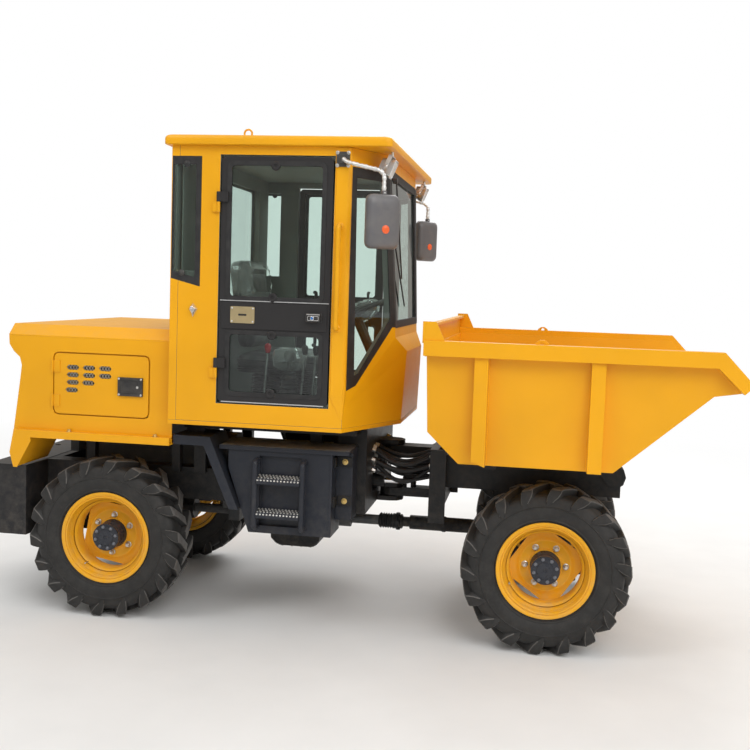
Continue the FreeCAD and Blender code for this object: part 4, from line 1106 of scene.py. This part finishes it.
def cushion(name, place, hw, hh, deep, crown):
    """A crowned pad with rounded sides, a piped seam and a sewn panel."""
    bm = bmesh.new()
    rows = [
        (0, -14), (3, -5), (10, -1), (deep * 0.45, 0), (deep * 0.62, -2), (deep * 0.8, -9),
        (deep * 0.92, -22), (deep, -42),
        (deep + crown * 0.35, -62), (deep + crown * 0.28, -66), (deep + crown * 0.42, -70),
        (deep + crown * 0.8, -110), (deep + crown, -min(hw, hh) + 12),
    ]
    add_stack(bm, [(d, hw + k, hh + k, max(70 + k * 0.6, 8)) for d, k in rows], place)
    loop = [place(u, v, deep * 0.56) for u, v in corner_loop(-hw, hw, -hh, hh, 70, 8)]
    add_tube(bm, loop + [loop[0]], 4.5, 8)
    ob = finish(name, bm, "vinyl", angle=50, slot="seat")
    return ob


def wrapping(name, rows, place, axis, deep, cap=True):
    """Crumpled clear film: a stack of loops, its points pushed to and fro along the axis and across."""
    bm = bmesh.new()
    for i, ring in enumerate(add_stack(bm, rows, place, cap=cap)):
        for j, v in enumerate(ring):
            v.co += axis * (deep * sin(j * 2.3 + i * 1.7)) + Vector((0, deep * sin(j * 1.7 + i), 0))
    finish(name, bm, "film", angle=25, slot="glass")


# height of the cab's floor, x of the seat's base, place of the gaiter of the large lever
FLOOR_Z = 1008
SEAT_X = -345
GAITER = (-250, -290)

pad = cushion("seat_pad", over(-340, 0, 1216), 218, 228, 78, 22)
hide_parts("seat_cushion")
LEAN = Vector((-60.0, 0, 445.0)).normalized()
OUTWARD = Vector((LEAN.z, 0, -LEAN.x))


def on_backrest(u, v, d):
    return at(-572, 0, 1537) + (LEAN * v + OUTWARD * d) / 1000 + Vector((0, u / 1000, 0))


back = cushion("seat_backrest", on_backrest, 218, 222, 78, 20)
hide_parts("seat_back")
loops = [(d, 218 + k, 100 + k, 60) for d, k in ((2, 2), (20, 6), (50, 8), (82, 5), (98, -12), (106, -40))]
wrapping("seat_wrapping", loops, lambda u, v, d: on_backrest(u, v + 118, d), OUTWARD, 0.0035, cap=False)

base = bmesh.new()
fold = []
for k in range(9):
    z = 1012 + 20 * k
    fold += [(z, 158, 128, 34), (z + 10, 142, 112, 30)]
add_stack(base, fold + [(1192, 158, 128, 34)], over(SEAT_X, 0))
shell = ((1192, 190, 190, 30), (1196, 205, 205, 34), (1212, 210, 214, 34), (1216, 206, 210, 34))
add_stack(base, shell, over(SEAT_X, 0))
for sgn in (-1, 1):
    add_box(base, -520, -180, sgn * 150, sgn * 176, FLOOR_Z, 1034)
finish("seat_bellows", base, "plastic", angle=25, replaces=("seat_base",))

sticks = bmesh.new()
UP = (0, 0, 1)
STICK_BOOT = [(0, 24), (6, 24), (14, 17), (22, 19), (30, 13), (38, 15), (46, 9), (60, 8), (60, 0)]
KNOB = [(-22, 7), (-18, 12), (-4, 15), (12, 17), (22, 14), (27, 7), (28, 0)]
for x, y, top in ((-381, -300, 1), (-190, -300, 2), (-130, -310, 2)):
    foot, head = at(x, y, FLOOR_Z), at(x + 20, y, 1326)
    spin(sticks, STICK_BOOT, foot, UP, 20, 2)
    add_tube(sticks, [foot, foot.lerp(head, 0.5), head], 6, 10)
    spin(sticks, KNOB, head, UP, 18, top)
boot = [(0, 60)]
for k in range(8):
    boot += [(8 + 24 * k, 54 - k), (20 + 24 * k, 40 - k)]
spin(sticks, boot + [(200, 40), (206, 30), (206, 0)], at(*GAITER, FLOOR_Z), UP, 28, 2)
head = [(200, 12), (256, 12), (262, 24), (290, 30), (310, 22), (316, 0)]
spin(sticks, head, at(*GAITER, FLOOR_Z), UP, 18, 2)
loops = ((215, 44, 40, 24), (235, 74, 60, 34), (280, 82, 68, 40), (318, 70, 58, 36), (330, 40, 30, 20))
wrapping("head_wrapping", loops, over(*GAITER, FLOOR_Z), Vector((1, 0, 0)), 0.004)
finish("lever_set", sticks, "silver red plastic", angle=35, replaces=("levers",))

wheel = bmesh.new()
tilt = Matrix.Rotation(radians(-25), 3, "Y")
column = tilt @ Vector(UP)
mid = at(26, 0, 1510)
ring = [mid + tilt @ Vector((0.180 * cos(t), 0.180 * sin(t), 0)) for t in turns(72)]
add_tube(wheel, ring + [ring[0]], 12.5, 14)
for a in (90, 210, 330):
    d = tilt @ Vector((cos(radians(a)), sin(radians(a)), 0))
    spoke = [mid + d * 0.02, mid + d * 0.1 - tilt @ Vector((0, 0, 0.006)), mid + d * 0.178]
    add_tube(wheel, spoke, 8, 10, 0, [13, 9, 8])
spin(wheel, [(-40, 0), (-40, 26), (-14, 30), (2, 36), (10, 34), (14, 26), (15, 0)], mid, column, 28)
loops = ((-50, 60, 60, 40), (-30, 112, 118, 60), (6, 134, 142, 80), (34, 122, 128, 80), (46, 70, 70, 50))
wrapping("boss_wrapping", loops, lambda u, v, d: mid + tilt @ Vector((u, v, d)) / 1000, column, 0.005)
finish("steering_hoop", wheel, "plastic", angle=35, replaces=("steering_wheel",))

# Hoses and shaft boot over the pivot, joints of the drive shaft, pan under the gearbox

# x of the fittings on the rear body's tower and on the front body's yoke
TOWER_X = 184
YOKE_X = 490
SHAFT_Z = 425


def hose(name, start, end, sag, r):
    """A hose in one sagging bow from the tower to the yoke, with its end fittings."""
    bm = bmesh.new()
    a, b = at(TOWER_X, *start), at(YOKE_X, *end)
    path = [a.lerp(b, k / 32) - Vector((0, 0, sin(pi * k / 32) ** 1.3 * sag / 1000)) for k in range(33)]
    add_tube(bm, path, r, 12)
    for p, q in ((path[0], path[2]), (path[-1], path[-3])):
        spin(bm, [(-2, r + 3), (16, r + 3), (18, r + 1), (18, 0)], p, q - p, 6, 1)
    ob = finish(name, bm, "seal steel", None, angle=40)
    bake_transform(ob)


HOSES = [
    # y and z of the start, y and z of the end, sag, radius
    ((-262, 842), (-250, 820), 62, 9), ((-232, 852), (-222, 834), 74, 9), ((236, 846), (226, 826), 66, 9),
    ((266, 836), (254, 812), 56, 9), ((-268, 790), (-262, 776), 40, 11), ((-238, 770), (-236, 762), 84, 11),
    ((-258, 736), (-240, 716), 34, 8), ((262, 786), (256, 772), 44, 11),
]
# the inner ones close in a little and drop by 10 mm
HOSES += [((y, z), (y * 0.97, z - 10), sag, r) for y, z, sag, r in (
    (-205, 838, 52, 12), (-180, 806, 30, 12), (-150, 770, 58, 13), (-110, 742, 24, 13), (160, 800, 42, 13),
    (110, 748, 36, 13), (-160, 850, 44, 11), (190, 716, 40, 12),
)]
for k, row in enumerate(HOSES):
    hose(f"hose_{k + 1}", *row)

boot = bmesh.new()
folds = [(0, 30), (6, 38)]
for k in range(6):
    folds += [(12 + 13 * k, 41), (18.5 + 13 * k, 33)]
spin(boot, folds + [(92, 40), (100, 40), (104, 30)], at(190, 0, SHAFT_Z), (1, 0, 0), 28)
boot = finish("shaft_boot", boot, "seal", None, angle=50)
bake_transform(boot)

shaft = bmesh.new()
rows = [(0, 28), (3, 40), (14, 40), (18, 31), (40, 31), (44, 38), (52, 38), (56, 30)]
spin(shaft, rows, at(262, 0, SHAFT_Z), (1, 0, 0), 24)
for sgn in (-1, 1):
    rod(shaft, at(292, sgn * 20, SHAFT_Z), at(292, sgn * 45, SHAFT_Z), 12, 14)
    rod(shaft, at(292, 0, SHAFT_Z + sgn * 20), at(292, 0, SHAFT_Z + sgn * 45), 12, 14)
rows = [(0, 26), (4, 37), (170, 37), (176, 41), (190, 41), (196, 37), (322, 37), (330, 30)]
spin(shaft, rows, at(352, 0, SHAFT_Z), (1, 0, 0), 32)
node = "drive_shaft"
finish("shaft_joints", shaft, "chassis", NODE_BODY[node], angle=40, slot=NODE_SLOT[node])
pan = bmesh.new()
loops = ((370, 132, 160, 18), (330, 130, 158, 22), (300, 112, 140, 26), (288, 96, 124, 24))
add_stack(pan, loops, over(-226, -25))
finish("sump_pan", pan, "chassis", bevel=1.5, slot="paint_black")
plug = bmesh.new()
bolt(plug, at(-226, -60, 288), (0, 0, -1), 24, 10)
for x in (-300, -250, -200, -150):
    for y in (-130, 80):
        bolt(plug, at(x, y, 289), (0, 0, -1), 11, 6)
finish("sump_bolts", plug, "steel", slot="steel")

# Camera at the photograph's viewpoint

YAW, PITCH, ROLL = radians(9.153), radians(4.821), radians(-1.946)
LENS = 49.43
VIEWPOINT = (999.0, -5324.0, 1649.0)
fwd = Vector((-sin(YAW) * cos(PITCH), cos(YAW) * cos(PITCH), -sin(PITCH)))
right = Vector((cos(YAW), sin(YAW), 0))
down = fwd.cross(right)
right_r = right * cos(ROLL) + down * sin(ROLL)
down_r = down * cos(ROLL) - right * sin(ROLL)
cam_data = bpy.data.cameras.new("Camera")
cam_data.sensor_width = 36
cam_data.lens = LENS
camera = add_object("Camera", cam_data)
axes = Matrix((right_r, -down_r, -fwd)).transposed().to_4x4()
camera.matrix_world = Matrix.Translation(at(*VIEWPOINT)) @ axes
bpy.context.scene.camera = camera

# Floor, sky and lamps


def floor():
    """A matt floor that runs out into plain white away from the machine."""
    s = Shader("Pale floor")
    tone = s.mix(s.ramp(s.noise(3, 4), 0.3, 0.7), (0.76, 0.76, 0.755), (0.79, 0.79, 0.785))
    matt = s.make("ShaderNodeBsdfDiffuse", Color=tone)
    flat = s.node("ShaderNodeVectorMath", operation="LENGTH")
    s.put(flat.inputs[0], s.coords)
    seen = s.node("ShaderNodeLightPath").outputs["Is Camera Ray"]
    far = s.times(s.ramp(flat.outputs["Value"], 2.6, 7.5), seen, clamp=True)
    bm = bmesh.new()
    r = 60.0
    bm.faces.new([bm.verts.new((x, y, -0.0005)) for x, y in ((-r, -r), (r, -r), (r, r), (-r, r))])
    ob = mesh_object("Floor", bm, [s.close(s.blend(far, matt, s.node("ShaderNodeEmission")))])


floor()

# colours at the horizon and overhead
SKY = ((0.31, 0.285, 0.25), (0.98, 0.975, 0.965))


def sky():
    """Bright overhead and dimmer at the horizon; plain white where the camera looks past everything."""
    s = Shader("Sky", world=True)
    dome = s.make("ShaderNodeBackground", Color=s.mix(s.ramp(s.split(s.coords)["Z"], 0.0, 0.9), *SKY))
    plain = s.make("ShaderNodeBackground", Color=(1.0, 1.0, 1.0))
    path = s.node("ShaderNodeLightPath").outputs
    seen = s.math("MAXIMUM", path["Is Camera Ray"], path["Is Transmission Ray"])
    bpy.context.scene.world = s.close(s.blend(seen, dome, plain))


sky()

LAMPS = (
    # name, place, target, size, watts
    ("Key", (-4.5, -4.6, 7.0), (0.0, 0.0, 0.9), 3.0, 110.0),
    ("Fill", (3.6, -6.5, 6.2), (0.0, 0.0, 0.9), 5.0, 240.0),
    ("Back", (0.5, 6.0, 6.5), (0.0, 0.0, 1.0), 5.0, 300.0),
    ("Front", (6.5, -3.2, 4.6), (0.3, 0.0, 1.1), 3.0, 60.0),
)
for name, place, target, size, watts in LAMPS:
    data = bpy.data.lights.new(name, "AREA")
    data.shape = "DISK"
    data.size = size
    data.energy = watts
    lamp = add_object(name, data)
    lamp.location = place
    lamp.rotation_euler = (Vector(target) - Vector(place)).to_track_quat("-Z", "Y").to_euler()

bpy.context.scene.view_settings.view_transform = "Standard"
